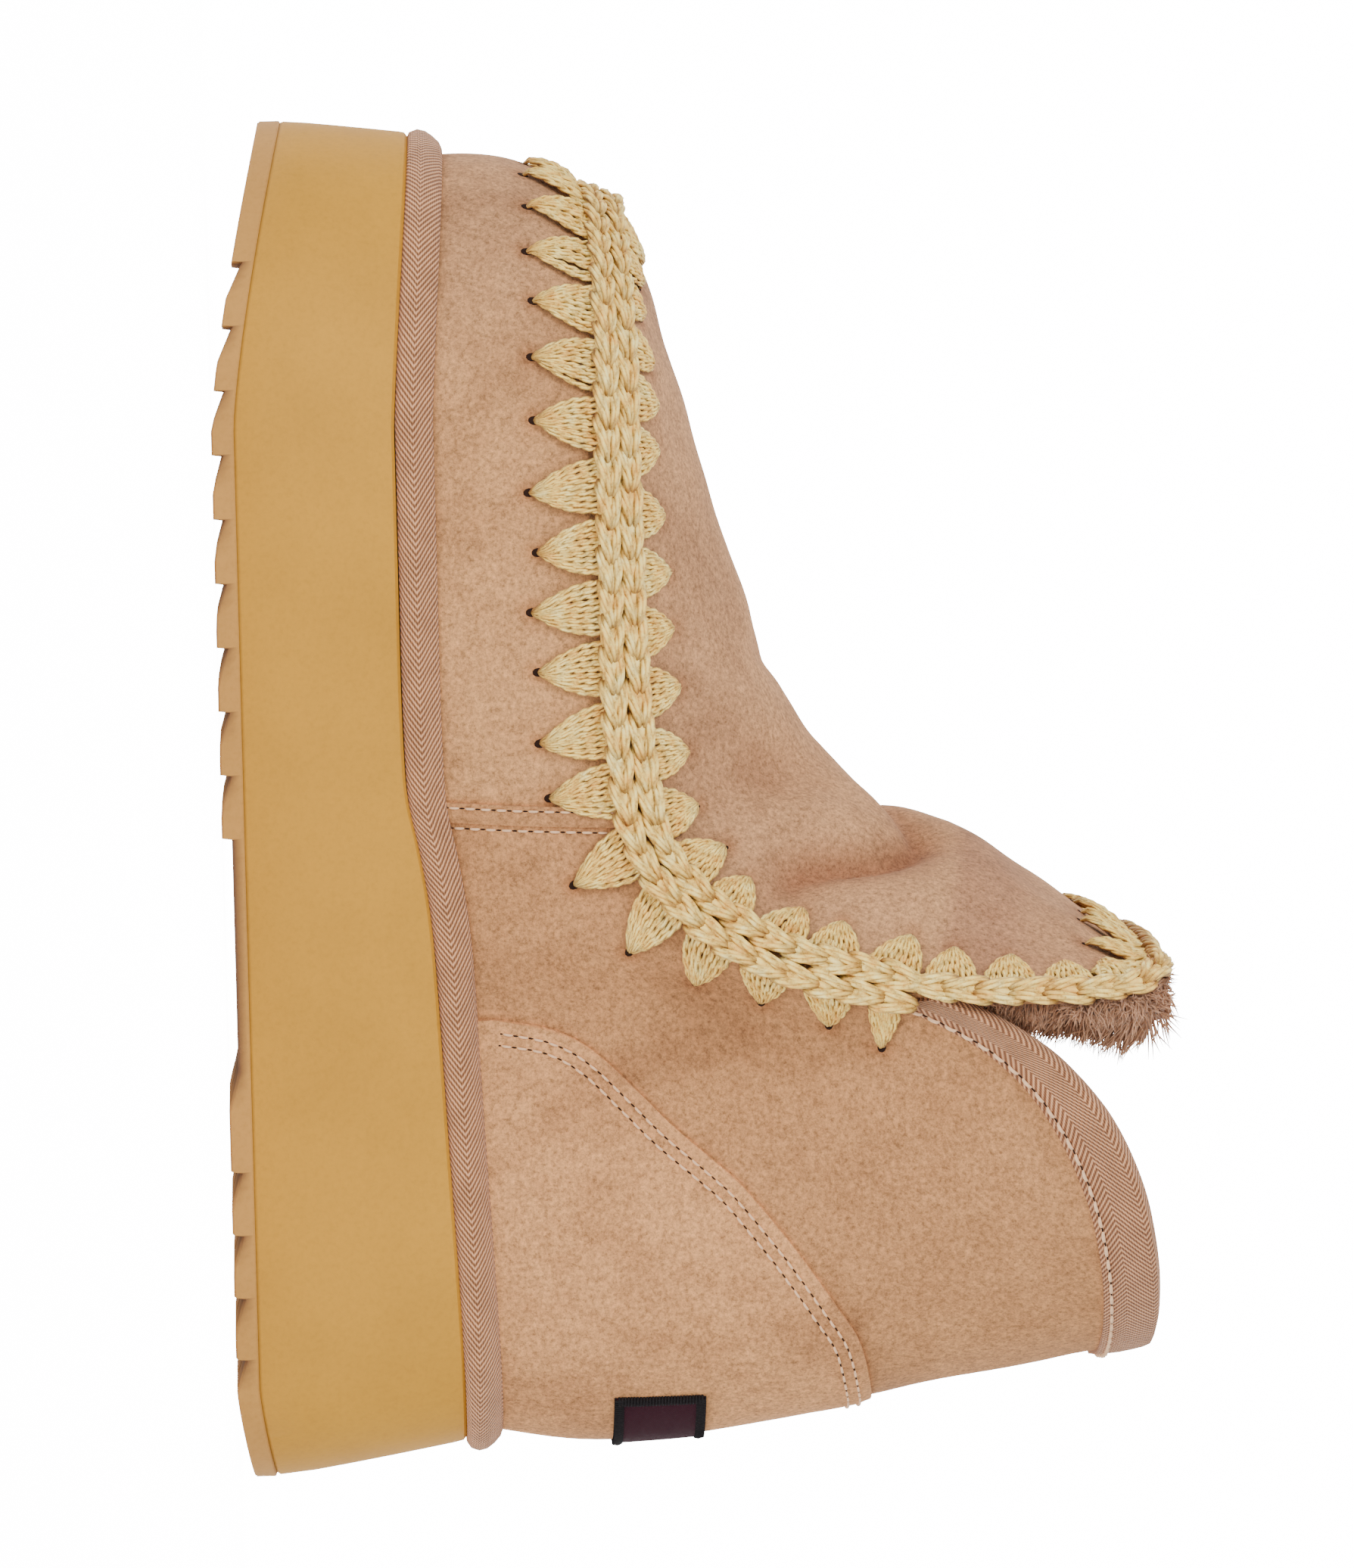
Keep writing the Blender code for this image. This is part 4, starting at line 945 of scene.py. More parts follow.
def chain_yarn(track, start, end, direction, seed):
    """The chain's stitches: each a pair of yarn legs that meet in a point over the next pair."""
    count = int(round((end - start) / STITCH_PITCH))
    pitch = (end - start) / count
    # Length in pitches, distance across and height in millimetres, along one leg
    leg = [(0, -0.26, 1.10, -0.90), (1, 0.04, 1.62, 0.00), (2, 0.38, 1.46, 0.75), (3, 0.72, 1.02, 1.12),
           (4, 1.04, 0.58, 0.90), (5, 1.30, 0.28, -0.20)]
    shares = np.linspace(0, 5, 12)
    shape = np.array([cubic_columns(leg, s) for s in shares])
    rng = np.random.default_rng(seed)
    paths, normals = [], []
    for i in range(count):
        base = start + i * pitch if direction > 0 else end - i * pitch
        for side in (-1, 1):
            jitter = rng.normal(0, 0.00012, 3)
            along = base + direction * shape[:, 0] * pitch
            across = side * shape[:, 1] * CHAIN_HALF_WIDTH * rng.uniform(0.94, 1.06)
            points, out = track.place(along, across, shape[:, 2] * 0.001)
            paths.append(points + jitter)
            normals.append(out)
    paths, normals = np.array(paths), np.array(normals)
    spread = np.ones(paths.shape[:2])
    spread[:, 0] = spread[:, -1] = 0.4
    wound, facing = twist(paths, normals, 4, 0.00060, spread, 0.55, seed)
    radii = np.full(wound.shape[:2], CHAIN_PLY_RADIUS)
    radii *= np.where(np.arange(12) % 11 == 0, 0.55, 1.0)[None]
    points, quads, uv, shade = tubes(wound, facing, radii, 5)
    # Painted shade: darker where a leg dives under its neighbours
    open_part = np.interp(shares, [0.0, 1.4, 3.2, 5.0], [0.0, 1.0, 1.0, 0.15])
    shade = shade.reshape(len(wound), 12, 5) * open_part[None, :, None]
    return points, quads, uv, shade.ravel()


def chain_core(track, start, end):
    """The yarn that shows through between a chain's stitches."""
    at = np.arange(start, end, 0.0022)
    cores = []
    for across, lift in ((-0.0009, -0.0004), (0.0009, -0.0004), (0.0, 0.0001)):
        points, out = track.place(at, np.full(len(at), across), np.full(len(at), lift))
        cores.append(tubes(points[None], out[None], np.full((1, len(at)), 0.0011), 6))
    return join(*cores)


def walk_skin(start, heading, normal, length, steps=6):
    """A point a distance away over the suede, and the normal there."""
    place, face = on_skin(start[None], normal)
    place, face = place[0], face[0]
    for _ in range(steps):
        heading = unit(heading - face * (heading @ face))
        here, turned = on_skin((place + heading * (length / steps))[None], face)
        place, face = here[0], turned[0]
    return place, face, heading


def fan_yarn(track, start, end, reach_at, seed):
    """Fans of yarn from one needle hole each to the chain: the tubes, and the holes."""
    count = int(round((end - start) / FAN_PITCH))
    pitch = (end - start) / count
    rng = np.random.default_rng(seed)
    shares = np.linspace(0, 1, 13)
    paths, normals, holes = [], [], []
    for i in range(count):
        middle = np.array([start + (i + 0.5) * pitch])
        centre, out = track.place(middle, np.array([0.0]), np.array([0.0]))
        sideways = unit(track.read(track.along, middle))[0]
        over = unit(track.read(track.over, middle))[0]
        heading = unit(over + sideways * rng.normal(0, 0.07))
        width = 0.62 if not track.closed and i in (0, count - 1) else 1.0
        reach = reach_at(middle[0]) * rng.uniform(0.93, 1.06)
        tip, tip_normal, over = walk_skin(centre[0], heading, out[0], reach)
        holes.append((tip, tip_normal, over, 0.5 if track.closed else 0.85))
        for y in range(FAN_YARNS):
            across = (y + 0.5) / FAN_YARNS * 2 - 1
            at = middle + across * pitch * 0.47 * width
            base, base_out = track.place(at, np.array([0.0010]), np.array([-0.0004]))
            line = tip[None] + (base[0] - tip)[None] * shares[:, None]
            swell = np.sin(np.pi * shares) * across * pitch * 0.12 * width
            line = line + sideways[None] * swell[:, None]
            foot, normal = on_skin(line, base_out[0])
            dome = 0.0004 + 0.0019 * np.sin(np.pi * shares ** 0.62 * 0.80)
            dome = dome * (1 - 0.40 * across ** 2) + rng.normal(0, 0.00032) * shares
            dome[0] = -0.0006
            blend = ease(0.72, 1.0, shares)[:, None]
            paths.append((foot + normal * dome[:, None]) * (1 - blend) + line * blend)
            normals.append(normal)
    spread = np.interp(shares, [0, 0.2, 1], [0.25, 0.75, 1.0])[None].repeat(len(paths), 0)
    wound, facing = twist(np.array(paths), np.array(normals), 2, 0.00034, spread, 2.6, seed)
    radii = np.interp(shares, [0, 0.15, 0.6, 1], [0.00022, 0.00033, 0.00044, 0.00046])
    radii = radii[None] * rng.uniform(0.86, 1.10, (len(wound), 1))
    points, quads, uv, shade = tubes(wound, facing, radii, 4)
    # Soiled and in shadow towards the needle hole
    open_part = np.interp(shares, [0, 0.12, 0.34, 0.94, 1], [0.22, 0.66, 1.0, 1.0, 0.85])
    shade = shade.reshape(len(wound), len(shares), 4) * open_part[None, :, None]
    return (points, quads, uv, shade.ravel()), holes


def join(*parts):
    """Many tubes as one piece: points, quads, corner UVs and shades."""
    joined, offset = [], 0
    for points, quads, uvs, shades in parts:
        joined.append((points, quads + offset, uvs, shades))
        offset += len(points)
    return tuple(np.concatenate(part) for part in zip(*joined))


def tube_piece(name, parts, material, replaces=()):
    points, quads, uvs, shades = join(*parts)
    piece = make_piece(name, points, quads, material, replaces, 180)
    layer = piece.data.uv_layers.new(name="along")
    layer.data.foreach_set("uv", uvs.ravel())
    paint(piece, "shade", np.repeat(shades[:, None], 3, axis=1))
    return piece


EDGE, WALL_NORMAL, PLUG_NORMAL = seam_samples()
FLAP_EDGE, FLAP_AWAY, FLAP_NORMAL = flap_samples()
SIDE_TRACK = Track(EDGE, WALL_NORMAL, PLUG_NORMAL, -1, np.full(len(EDGE), CHAIN_OFFSET), False)
LOOP_EDGE = np.concatenate([EDGE, FLAP_EDGE])
LOOP_WALL = np.concatenate([WALL_NORMAL, FLAP_AWAY])
LOOP_PLUG = np.concatenate([PLUG_NORMAL, FLAP_NORMAL])
SEAM_COUNT = len(EDGE)
PLUG_OFFSET = np.concatenate([np.full(SEAM_COUNT, CHAIN_OFFSET), np.full(len(FLAP_EDGE), 0.0006)])
PLUG_OFFSET = smooth_loop(PLUG_OFFSET[:, None], 160, True)[:, 0]
PLUG_TRACK = Track(LOOP_EDGE, LOOP_WALL, LOOP_PLUG, 1, PLUG_OFFSET, True)


def build_crochet(name, track, start, end, toe_at, reach_at, seed):
    """A chain in two halves that part at the toe, with its fans. Gives the fans' needle holes."""
    front = chain_yarn(track, start, toe_at, -1, seed)
    back = chain_yarn(track, toe_at, end, 1, seed + 1)
    fans, holes = fan_yarn(track, 0.0, track.length, reach_at, seed + 2)
    tube_piece(name + "_yarn", [front, back, chain_core(track, start, end), fans], YARN, [name])
    return holes


def plug_reach(at):
    """The plug's fans reach further over the flap's top than round the toe."""
    top_from = PLUG_TRACK.arc[SEAM_COUNT + FLAP_SIDE_SAMPLES - 8]
    top_to = PLUG_TRACK.arc[SEAM_COUNT + FLAP_SIDE_SAMPLES + FLAP_TOP_SAMPLES + 10]
    on_top = ease(top_from - 0.012, top_from + 0.012, at) * ease(top_to + 0.012, top_to - 0.012, at)
    return PLUG_FAN_REACH + FLAP_FAN_MORE * on_top


HOLES = build_crochet("side_crochet", SIDE_TRACK, 0.001, SIDE_TRACK.length - 0.001,
                      SIDE_TRACK.length / 2, lambda at: FAN_REACH, 3)
HOLES += build_crochet("plug_crochet", PLUG_TRACK, 0.0, PLUG_TRACK.length,
                       PLUG_TRACK.arc[SEAM_COUNT] / 2, plug_reach, 6)


def build_holes():
    """Small needle holes at the fans' tips, as dark discs of painted shade."""
    # Radius, and height off the suede
    rings = [(0.00001, 0.00016), (0.0007, 0.00018), (0.0011, 0.00012), (0.0014, -0.0001)]
    points, quads, offset, sides = [], [], 0, 10
    for tip, normal, over, size in HOLES:
        across = unit(np.cross(normal, over))
        along = np.cross(across, normal)
        centre = tip - over * 0.0004 * size
        ring_points = []
        for radius, lift in rings:
            for k in range(sides):
                turn = 2 * math.pi * k / sides
                reach = radius * size
                ring_points.append(centre + across * math.cos(turn) * reach * 0.85
                                   + along * math.sin(turn) * reach * 1.15 + normal * lift)
        points.append(ring_points)
        quads.append(grid_quads(len(rings), sides, close_columns=True, offset=offset))
        offset += len(rings) * sides
    make_piece("needle_holes", np.concatenate(points), np.concatenate(quads), HOLE, smooth=180)


build_holes()


def suede_tone():
    """The colour of each point of the suede: by panel, with painted shade in the creases and on the flap's
    lower part beside them, and darker round the holes from painted shade and soiling.
    """
    kind, row, _, _ = SKIN_WHERE.T
    tone = np.where((kind == 0)[:, None], VAMP, PLUG)
    behind = ease(SIDE_SEAM_RIB - 0.002, SIDE_SEAM_RIB + 0.002, row) * (kind == 0)
    tone = tone + (QUARTER - VAMP) * behind[:, None]
    flap = np.where(kind == 2, ease(0.0, 0.7, row), 0.0)
    tone = tone * (1 - 0.07 * flap[:, None] * np.array([0.9, 1.1, 0.8]))
    front = ease(0.070, 0.128, SKIN_POINTS[:, 0])
    tone = tone * (1 - front[:, None] * np.array([0.17, 0.14, 0.02]))
    # Painted shade in the creases, together with the nap's own darker colour there
    crease_shade_and_nap = np.clip(CREASE_SHADE, 0, 1.2)[:, None]
    tone = tone * (1 - crease_shade_and_nap * np.array([0.30, 0.40, 0.40]))
    # Painted shade on the flap's lower part, beside the crease
    flap_painted_shade = np.where(kind == 2, ease(0.0, 0.10, row) * (1 - ease(0.25, 0.60, row)), 0.0)
    tone = tone * (1 - flap_painted_shade[:, None] * np.array([0.20, 0.24, 0.18]))
    # Painted shade and soiling: darker round the fans' needle holes
    tree = point_tree([hole[0] for hole in HOLES])
    near = np.array([tree.find(p)[2] for p in SKIN_POINTS])
    hole_shade_and_soiling = np.exp(-(near / 0.0022) ** 2)[:, None]
    return tone * (1 - hole_shade_and_soiling * np.array([0.32, 0.42, 0.46]))


def build_upper():
    upper = make_piece("upper_suede", SKIN_POINTS, SKIN_QUADS, SUEDE, ["upper"], 180, SKIN_TRIANGLES)
    upper.data.materials.append(FLESH)
    paint(upper, "tone", suede_tone())
    wall = upper.modifiers.new("wall", 'SOLIDIFY')
    wall.thickness = WALL
    wall.offset = -1
    wall.material_offset = 1
    wall.material_offset_rim = 1


build_upper()


# What is sewn on

def slab(outside, inside):
    """Points and quads of a closed sheet between two grids."""
    rows, columns = outside.shape[:2]
    half = rows * columns
    top = grid_quads(rows, columns)
    below = grid_quads(rows, columns)[:, ::-1] + half
    rim = [k for k in range(columns)] + [i * columns + columns - 1 for i in range(1, rows)]
    rim += [(rows - 1) * columns + k for k in range(columns - 2, -1, -1)]
    rim += [i * columns for i in range(rows - 2, 0, -1)]
    rim = np.array(rim)
    following = np.roll(rim, -1)
    sides = np.stack([rim, following, following + half, rim + half], axis=1)
    points = np.concatenate([outside.reshape(-1, 3), inside.reshape(-1, 3)])
    return points, np.concatenate([top, below, sides])


def rear_loop(start, step=0.0022):
    ribs = np.arange(start, 1.0, step)
    return [(1, r) for r in ribs] + [(1, 1.0)] + [(-1, r) for r in ribs[::-1]]


def counter_height(rib):
    return cubic_columns(COUNTER_EDGE, rib)[0] * BOOT_HEIGHT


def skin_column(side, rib, above_foot, high, count):
    """Points of the suede up one rib, from above the foot line to a height, and the normals there."""
    foot, outwards = foot_point(side, rib)
    heights = np.linspace(foot[2] + above_foot, high, count)
    return on_skin(np.array([wall_at(side, rib, h) for h in heights]), outwards)


def build_counter():
    outside, inside = [], []
    for side, rib in rear_loop(COUNTER_START):
        foot, normal = skin_column(side, rib, BINDING_HEIGHT * 0.7, counter_height(rib), 26)
        lift = np.full(len(foot), COUNTER_LIFT)
        lift[-1] = 0.00085
        outside.append(foot + normal * lift[:, None])
        inside.append(foot + normal * 0.00005)
    make_piece("heel_counter_suede", *slab(np.array(outside), np.array(inside)), SUEDE_COUNTER,
               ["heel_counter"], 50)


def sewn_row(path, normals, pitch, first, offsets, rise, radii, sides):
    """Short tubes in a row along a path, as places along it and heights off it about each middle."""
    arc = arc_lengths(path)
    count = max(int(arc[-1] / pitch), 1)
    middles = (np.arange(count if first else count + 1) + first) * arc[-1] / count
    at = middles[:, None] + offsets
    facing = unit(read_line(normals, arc, at))
    paths = read_line(path, arc, at) + facing * np.asarray(rise)[:, None]
    return tubes(paths, facing, np.asarray(radii)[None].repeat(len(at), 0), sides)


def stitch_row(path, normals, pitch=THREAD_PITCH, length=0.0021, lift=0.00024, thick=0.00027, sink=0.00035):
    """Sewn thread along a path: short rounded stitches that dip into the suede at both ends."""
    rise = [-sink, lift * 0.8, lift * 1.1, lift * 1.1, lift * 0.8, -sink]
    radii = np.array([0.5, 0.95, 1, 1, 0.95, 0.5]) * thick
    return sewn_row(path, normals, pitch, 0.5, (np.linspace(0, 1, 6) - 0.5) * length, rise, radii, 6)


def needle_row(path, normals, pitch=THREAD_PITCH):
    """The needle holes between the stitches of a row, as dark specks of painted shade."""
    offsets = np.array([-0.5, -0.25, 0.25, 0.5]) * pitch * 0.34
    return sewn_row(path, normals, pitch, 0, offsets, [0.00002] * 4, [0.00006, 0.00017, 0.00017, 0.00006], 5)


def counter_line(inset, lift):
    """A line on the counter, a distance inside its upper edge."""
    line, facing = [], []
    ribs = rear_loop(COUNTER_START + 0.001)
    edge = np.array([wall_at(side, rib, counter_height(rib)) for side, rib in ribs])
    along = unit(np.gradient(edge, axis=0))
    for place, tangent, (side, rib) in zip(edge, along, ribs):
        _, normal = on_skin(place[None], foot_point(side, rib)[1])
        down = unit(np.cross(tangent, normal[0]))
        down = down if down[2] < 0 else -down
        hit, normal = on_skin((place + down * inset)[None], foot_point(side, rib)[1])
        line.append(hit[0] + normal[0] * lift)
        facing.append(normal[0])
    return np.array(line), np.array(facing)


def sew(path, normals, pitch=THREAD_PITCH, **thread):
    """Stitches along a line, and the needle holes between them."""
    STITCHES.append(stitch_row(path, normals, pitch, **thread))
    NEEDLE_ROWS.append(needle_row(path, normals, pitch))


def build_side_seams():
    for side, name in ((1, "outer"), (-1, "inner")):
        outside, inside = [], []
        for across in np.linspace(-1, 1, 7):
            rib = SIDE_SEAM_RIB + across * 0.0021 / HALF_PERIMETER
            high = top_point(side, rib)[2] - 0.0015
            foot, normal = skin_column(side, rib, BINDING_HEIGHT * 0.7, high, 24)
            lift = 0.0011 * (1 - 0.5 * max(across, 0) ** 2)
            outside.append(foot + normal * lift)
            inside.append(foot - normal * 0.0001)
        make_piece("side_seam_" + name + "_strip", *slab(np.array(outside), np.array(inside)),
                   SUEDE_STRIP, ["side_seam_" + name], 60)
        for offset, lift in ((-0.0011, 0.0011), (0.0032, 0.00005)):
            rib = SIDE_SEAM_RIB + offset / HALF_PERIMETER
            foot, normal = skin_column(side, rib, BINDING_HEIGHT, top_point(side, rib)[2] - 0.003, 24)
            sew(foot + normal * lift, normal)


def tape_piece(name, rings, quads, material, replaces, smooth, leader, caps=None):
    """A tape through its cross-sections. Its UVs are metres along by the leading point, and across."""
    rings = np.array(rings)
    piece = make_piece(name, rings.reshape(-1, 3), quads, material, [replaces], smooth, caps)
    travelled = arc_lengths(rings[:, leader])
    lay_uv(piece, [(way, w) for way, ring in zip(travelled, rings) for w in arc_lengths(ring)])


def build_binding():
    """The rand in twill tape: a padded roll between platform and upper."""
    count = 420
    loop = [(1, r) for r in np.linspace(1, 0, count)] + [(-1, r) for r in np.linspace(0, 1, count)[1:-1]]
    rings = []
    for side, rib in loop:
        foot, normal = foot_point(side, rib)
        top = wall_at(side, rib, foot[2] + BINDING_HEIGHT)
        outer = outline_point(side, rib, inset_at(rib, BINDING_INSET))[0]
        thick = np.linalg.norm(outer - foot[:2])
        up = np.array([0, 0, 1.0])
        high = BINDING_HEIGHT
        lean = (top - foot) @ normal
        section = [(thick * 0.35, 0.0000), (thick - 0.0016, 0.0000), (thick - 0.0003, 0.12 * high),
                   (thick + 0.0003, 0.34 * high), (thick - 0.0001, 0.56 * high),
                   (thick - 0.0012, 0.76 * high), ((thick + lean) / 2, 0.93 * high),
                   (lean + 0.0011, 1.00 * high), (lean + 0.0003, 0.99 * high), (lean - 0.0002, 0.90 * high)]
        ring = [foot + normal * a + up * b for a, b in section]
        under = platform_height(to_station(ring[1][0])) + 0.0002
        ring[0][2] = ring[1][2] = under
        rings.append(ring)
    quads = grid_quads(len(loop), len(section), close_rows=True)
    tape_piece("binding_tape", rings, quads, WELT_TWILL, "binding", 60, 3)


def build_collar_tape():
    """The collar's tape, folded over its edge, and the line that its stitches follow."""
    loop = rear_loop(SPLIT_RIB + 0.004)
    rings, line, facing = [], [], []
    flange, inner, stitch_line, thick = 0.0098, 0.0075, 0.0082, 0.0009
    for side, rib in loop:
        foot = foot_point(side, rib)[0]
        top = top_point(side, rib)
        reach = np.linalg.norm(top - foot)
        outer = wall_column(side, rib, 1 - np.array([1.0, 0.75, 0.5, 0.25, 0.02]) * flange / reach)
        skin, normal = on_skin(outer, foot_point(side, rib)[1])
        up = unit(top - outer[0])
        n0 = normal[-1]
        inner_points = wall_column(side, rib, 1 - np.array([0.02, 0.4, 0.8, 1.0]) * inner / reach)
        ring = [skin[0] + normal[0] * 0.0001]
        ring += [skin[k] + normal[k] * (thick + 0.0003 * math.sin(k * 0.9)) for k in range(5)]
        ring += [top + n0 * 0.0004 + up * 0.0011, top - n0 * (WALL / 2) + up * 0.0015,
                 top - n0 * (WALL + 0.0004) + up * 0.0011]
        ring += [p - n0 * (WALL + thick + 0.0002) for p in inner_points]
        ring.append(inner_points[-1] - n0 * (WALL + 0.0001))
        rings.append(ring)
        hit, normal_line = on_skin(wall_column(side, rib, [1 - stitch_line / reach]),
                                   foot_point(side, rib)[1])
        line.append(hit[0] + normal_line[0] * 0.0011)
        facing.append(normal_line[0])
    size = len(rings[0])
    quads = grid_quads(len(loop), size, close_columns=True)
    caps = []
    for base in (0, (len(loop) - 1) * size):
        caps += [(base, base + k, base + k + 1) for k in range(1, size - 1)]
    tape_piece("collar_tape_twill", rings, quads, COLLAR_TWILL, "collar_tape", 50, 7, caps)
    return np.array(line), np.array(facing)


def rib_at_turn(side, turn, height):
    """The rib that a turn round the heel's middle leads to, at a height."""
    centre = wall_at(1, 1.0, height)[0] + HEEL_RADIUS
    low, high = 0.80, 1.0
    for _ in range(18):
        middle = (low + high) / 2
        place = wall_at(side, middle, height)
        if math.atan2(abs(place[1]), centre - place[0]) > turn:
            low = middle
        else:
            high = middle
    return (low + high) / 2


def build_label():
    """A bare woven patch with an overlocked edge."""
    columns, rows = 44, 16
    outside, inside, normals = [], [], []
    for c in range(columns + 1):
        turn = (c / columns - 0.5) * LABEL_WIDTH / HEEL_RADIUS
        side = 1 if turn <= 0 else -1
        column = []
        for k in range(rows + 1):
            at = LABEL_BOTTOM + LABEL_HEIGHT * k / rows
            column.append(wall_at(side, rib_at_turn(side, abs(turn), at), at))
        foot, normal = on_skin(np.array(column), np.array([-1.0, side * 0.3, 0]))
        outside.append(foot + normal * 0.0021)
        inside.append(foot + normal * 0.0013)
        normals.append(normal)
    outside, inside, normals = np.array(outside), np.array(inside), np.array(normals)
    n = Nodes("label_weave")
    length, width = n.along()
    warp, weft = n.waves(length, LABEL_WARP), n.waves(width, LABEL_WEFT)
    cloth = n.math('ADD', n.math('MULTIPLY', n.math('MULTIPLY', warp, weft), 0.4), 0.5)
    n.colour(n.ramp(cloth, [(0.1, (0.016, 0.003, 0.007)), (0.9, (0.050, 0.009, 0.018))]))
    n.bump(cloth, 0.00012, 0.8)
    n.set(Roughness=0.8, Specular_IOR_Level=0.12)
    piece = make_piece("heel_label_patch", *slab(outside, inside), n.material, ["heel_label"], 60)
    flat = [(LABEL_WIDTH * c / columns, LABEL_HEIGHT * k / rows)
            for c in range(columns + 1) for k in range(rows + 1)]
    lay_uv(piece, flat + flat)
    black = plain_material("label_overlock", (0.008, 0.006, 0.007), 0.85, 2000, 0.00008)
    rim = [(c, 0) for c in range(columns + 1)] + [(columns, k) for k in range(1, rows + 1)]
    rim += [(c, rows) for c in range(columns - 1, -1, -1)] + [(0, k) for k in range(rows - 1, 0, -1)]
    path = np.array([outside[i] for i in rim])
    face = np.array([normals[i] for i in rim])
    centre = outside[columns // 2, rows // 2]
    path, face = np.concatenate([path, path[:1]]), np.concatenate([face, face[:1]])
    arc = arc_lengths(path)
    paths, facing = [], []
    for at in np.arange(0, arc[-1], 0.00062):
        place, normal = read_line(path, arc, at), unit(read_line(face, arc, at))
        tangent = unit(read_line(path, arc, min(at + 0.0003, arc[-1])) - place + 1e-9)
        inward = turned(np.cross(normal, tangent), centre - place)
        steps = [(-0.0006, -0.0002), (0.0002, -0.0002), (0.0003, 0.0007), (0.0, 0.0015)]
        paths.append([place + normal * off + inward * over for off, over in steps])
        facing.append([normal] * 4)
    radii = np.full((len(paths), 4), 0.00030)
    tube_piece("heel_label_overlock", [tubes(np.array(paths), np.array(facing) + 0.01, radii, 5)], black)


STITCHES, NEEDLE_ROWS = [], []
build_counter()
build_side_seams()
for inset in COUNTER_STITCH_LINES:
    sew(*counter_line(inset, COUNTER_LIFT))
build_binding()
sew(*build_collar_tape(), COLLAR_THREAD_PITCH, length=0.0027, lift=0.00042, thick=0.00038)
tube_piece("stitch_needle_holes", NEEDLE_ROWS, HOLE)
tube_piece("seam_stitches", STITCHES, THREAD)
build_label()


# The sole

def tread_height(station):
    base = ground_height(station) + LUG_HEIGHT
    pitch = LUG_PITCH / SOLE_LENGTH
    ramp = LUG_RAMP / SOLE_LENGTH
    forefoot_end = FOREFOOT_FIRST_NOTCH - FOREFOOT_NOTCHES * pitch
    heel_last = HEEL_FIRST_NOTCH - (HEEL_NOTCHES - 1) * pitch
    if station > FOREFOOT_FIRST_NOTCH or station < heel_last - ramp:
        depth = 1.0
    elif station > forefoot_end:
        depth = min(((FOREFOOT_FIRST_NOTCH - station) % pitch) / ramp, 1)
    elif station > HEEL_FRONT_RAMP:
        depth = 0.0
    elif station > HEEL_FIRST_NOTCH:
        depth = min((HEEL_FRONT_RAMP - station) / ramp, 1)
    else:
        depth = min(((HEEL_FIRST_NOTCH - station) % pitch) / ramp, 1)
    return base - LUG_HEIGHT * depth, depth


def rounded_stations(count):
    """Stations that lie closer together at the sole's round ends."""
    return 0.00001 + 0.99998 * (0.5 - 0.5 * np.cos(np.pi * np.linspace(0, 1, count)))


def tread_stations():
    pitch = LUG_PITCH / SOLE_LENGTH
    sharp = 0.0005
    forefoot_end = FOREFOOT_FIRST_NOTCH - FOREFOOT_NOTCHES * pitch
    notches = [FOREFOOT_FIRST_NOTCH - k * pitch for k in range(FOREFOOT_NOTCHES)]
    notches += [HEEL_FIRST_NOTCH - k * pitch for k in range(HEEL_NOTCHES)]
    stations = rounded_stations(150)
    for at in notches + [forefoot_end]:
        stations = [s for s in stations if abs(s - at) > 0.0012] + [at - sharp, at + sharp]
    return sorted(stations)


def sole_section(station, levels):
    """One cross-section through levels given as inset, height and share of the way to the middle."""
    section = []
    for side, order in ((1, levels), (-1, levels[::-1])):
        for insets, height, inward in order:
            toe = outline_point(1, 0.0, insets[0])[0][0]
            heel = outline_point(1, 1.0, insets[2])[0][0]
            x = heel + (toe - heel) * station
            section.append((x, outline_width(side, x, insets) * inward, height))
    return section


def end_caps(count, size):
    """Both ends of a closed bar, as strips from each point to the one across from it."""
    caps = []
    for base, turn in ((0, -1), ((count - 1) * size, 1)):
        for k in range(size // 2 - 1):
            across = base + size - 1 - k
            caps += [(base + k, base + k + 1, across - 1)[::turn], (base + k, across - 1, across)[::turn]]
    return caps


def blend_insets(insets, share):
    return tuple(v * share for v in insets)


def sole_piece(name, rows, tones, material, replaces, smooth):
    """A closed bar through its cross-sections, with a tone for each point."""
    count, size = len(rows), len(rows[0])
    piece = make_piece(name, np.array(rows).reshape(-1, 3), grid_quads(count, size, close_columns=True),
                       material, [replaces], smooth, end_caps(count, size))
    paint(piece, "tone", np.array(tones))


def build_tread():
    rows, tones = [], []
    # Painted shade: deep is the shade in the gaps between the lugs and in the middle groove, light the
    # rubber's own colour
    deep = np.array([0.20, 0.088, 0.032])
    light = np.array([0.550, 0.274, 0.060])
    groove = GROOVE_WIDTH / BALL_WIDTH
    for station in tread_stations():
        low, depth = tread_height(station)
        high = parting_height(station)
        base = high - (OUTSOLE_THICKNESS - LUG_HEIGHT)
        middle_low = base if LIFT_END < station < SPRING_START else low
        levels = [((0, 0, 0), middle_low, groove * 0.9), ((0, 0, 0), low, groove * 1.1),
                  ((0.0004,) * 3, low, 0.985), ((0, 0, 0), low + 0.0004, 1.0),
                  ((0, 0, 0), high - 0.0003, 1.0), (blend_insets(PLATFORM_TOP_INSET, 0.10), high, 1.0)]
        rows.append(sole_section(station, levels))
        bottom = light * depth + deep * (1 - depth)
        half = [deep if middle_low > low + 1e-6 else bottom] + [bottom] * 3 + [light] * 2
        tones += half + half[::-1]
    sole_piece("outsole_tread", rows, tones, TREAD, "outsole", 28)


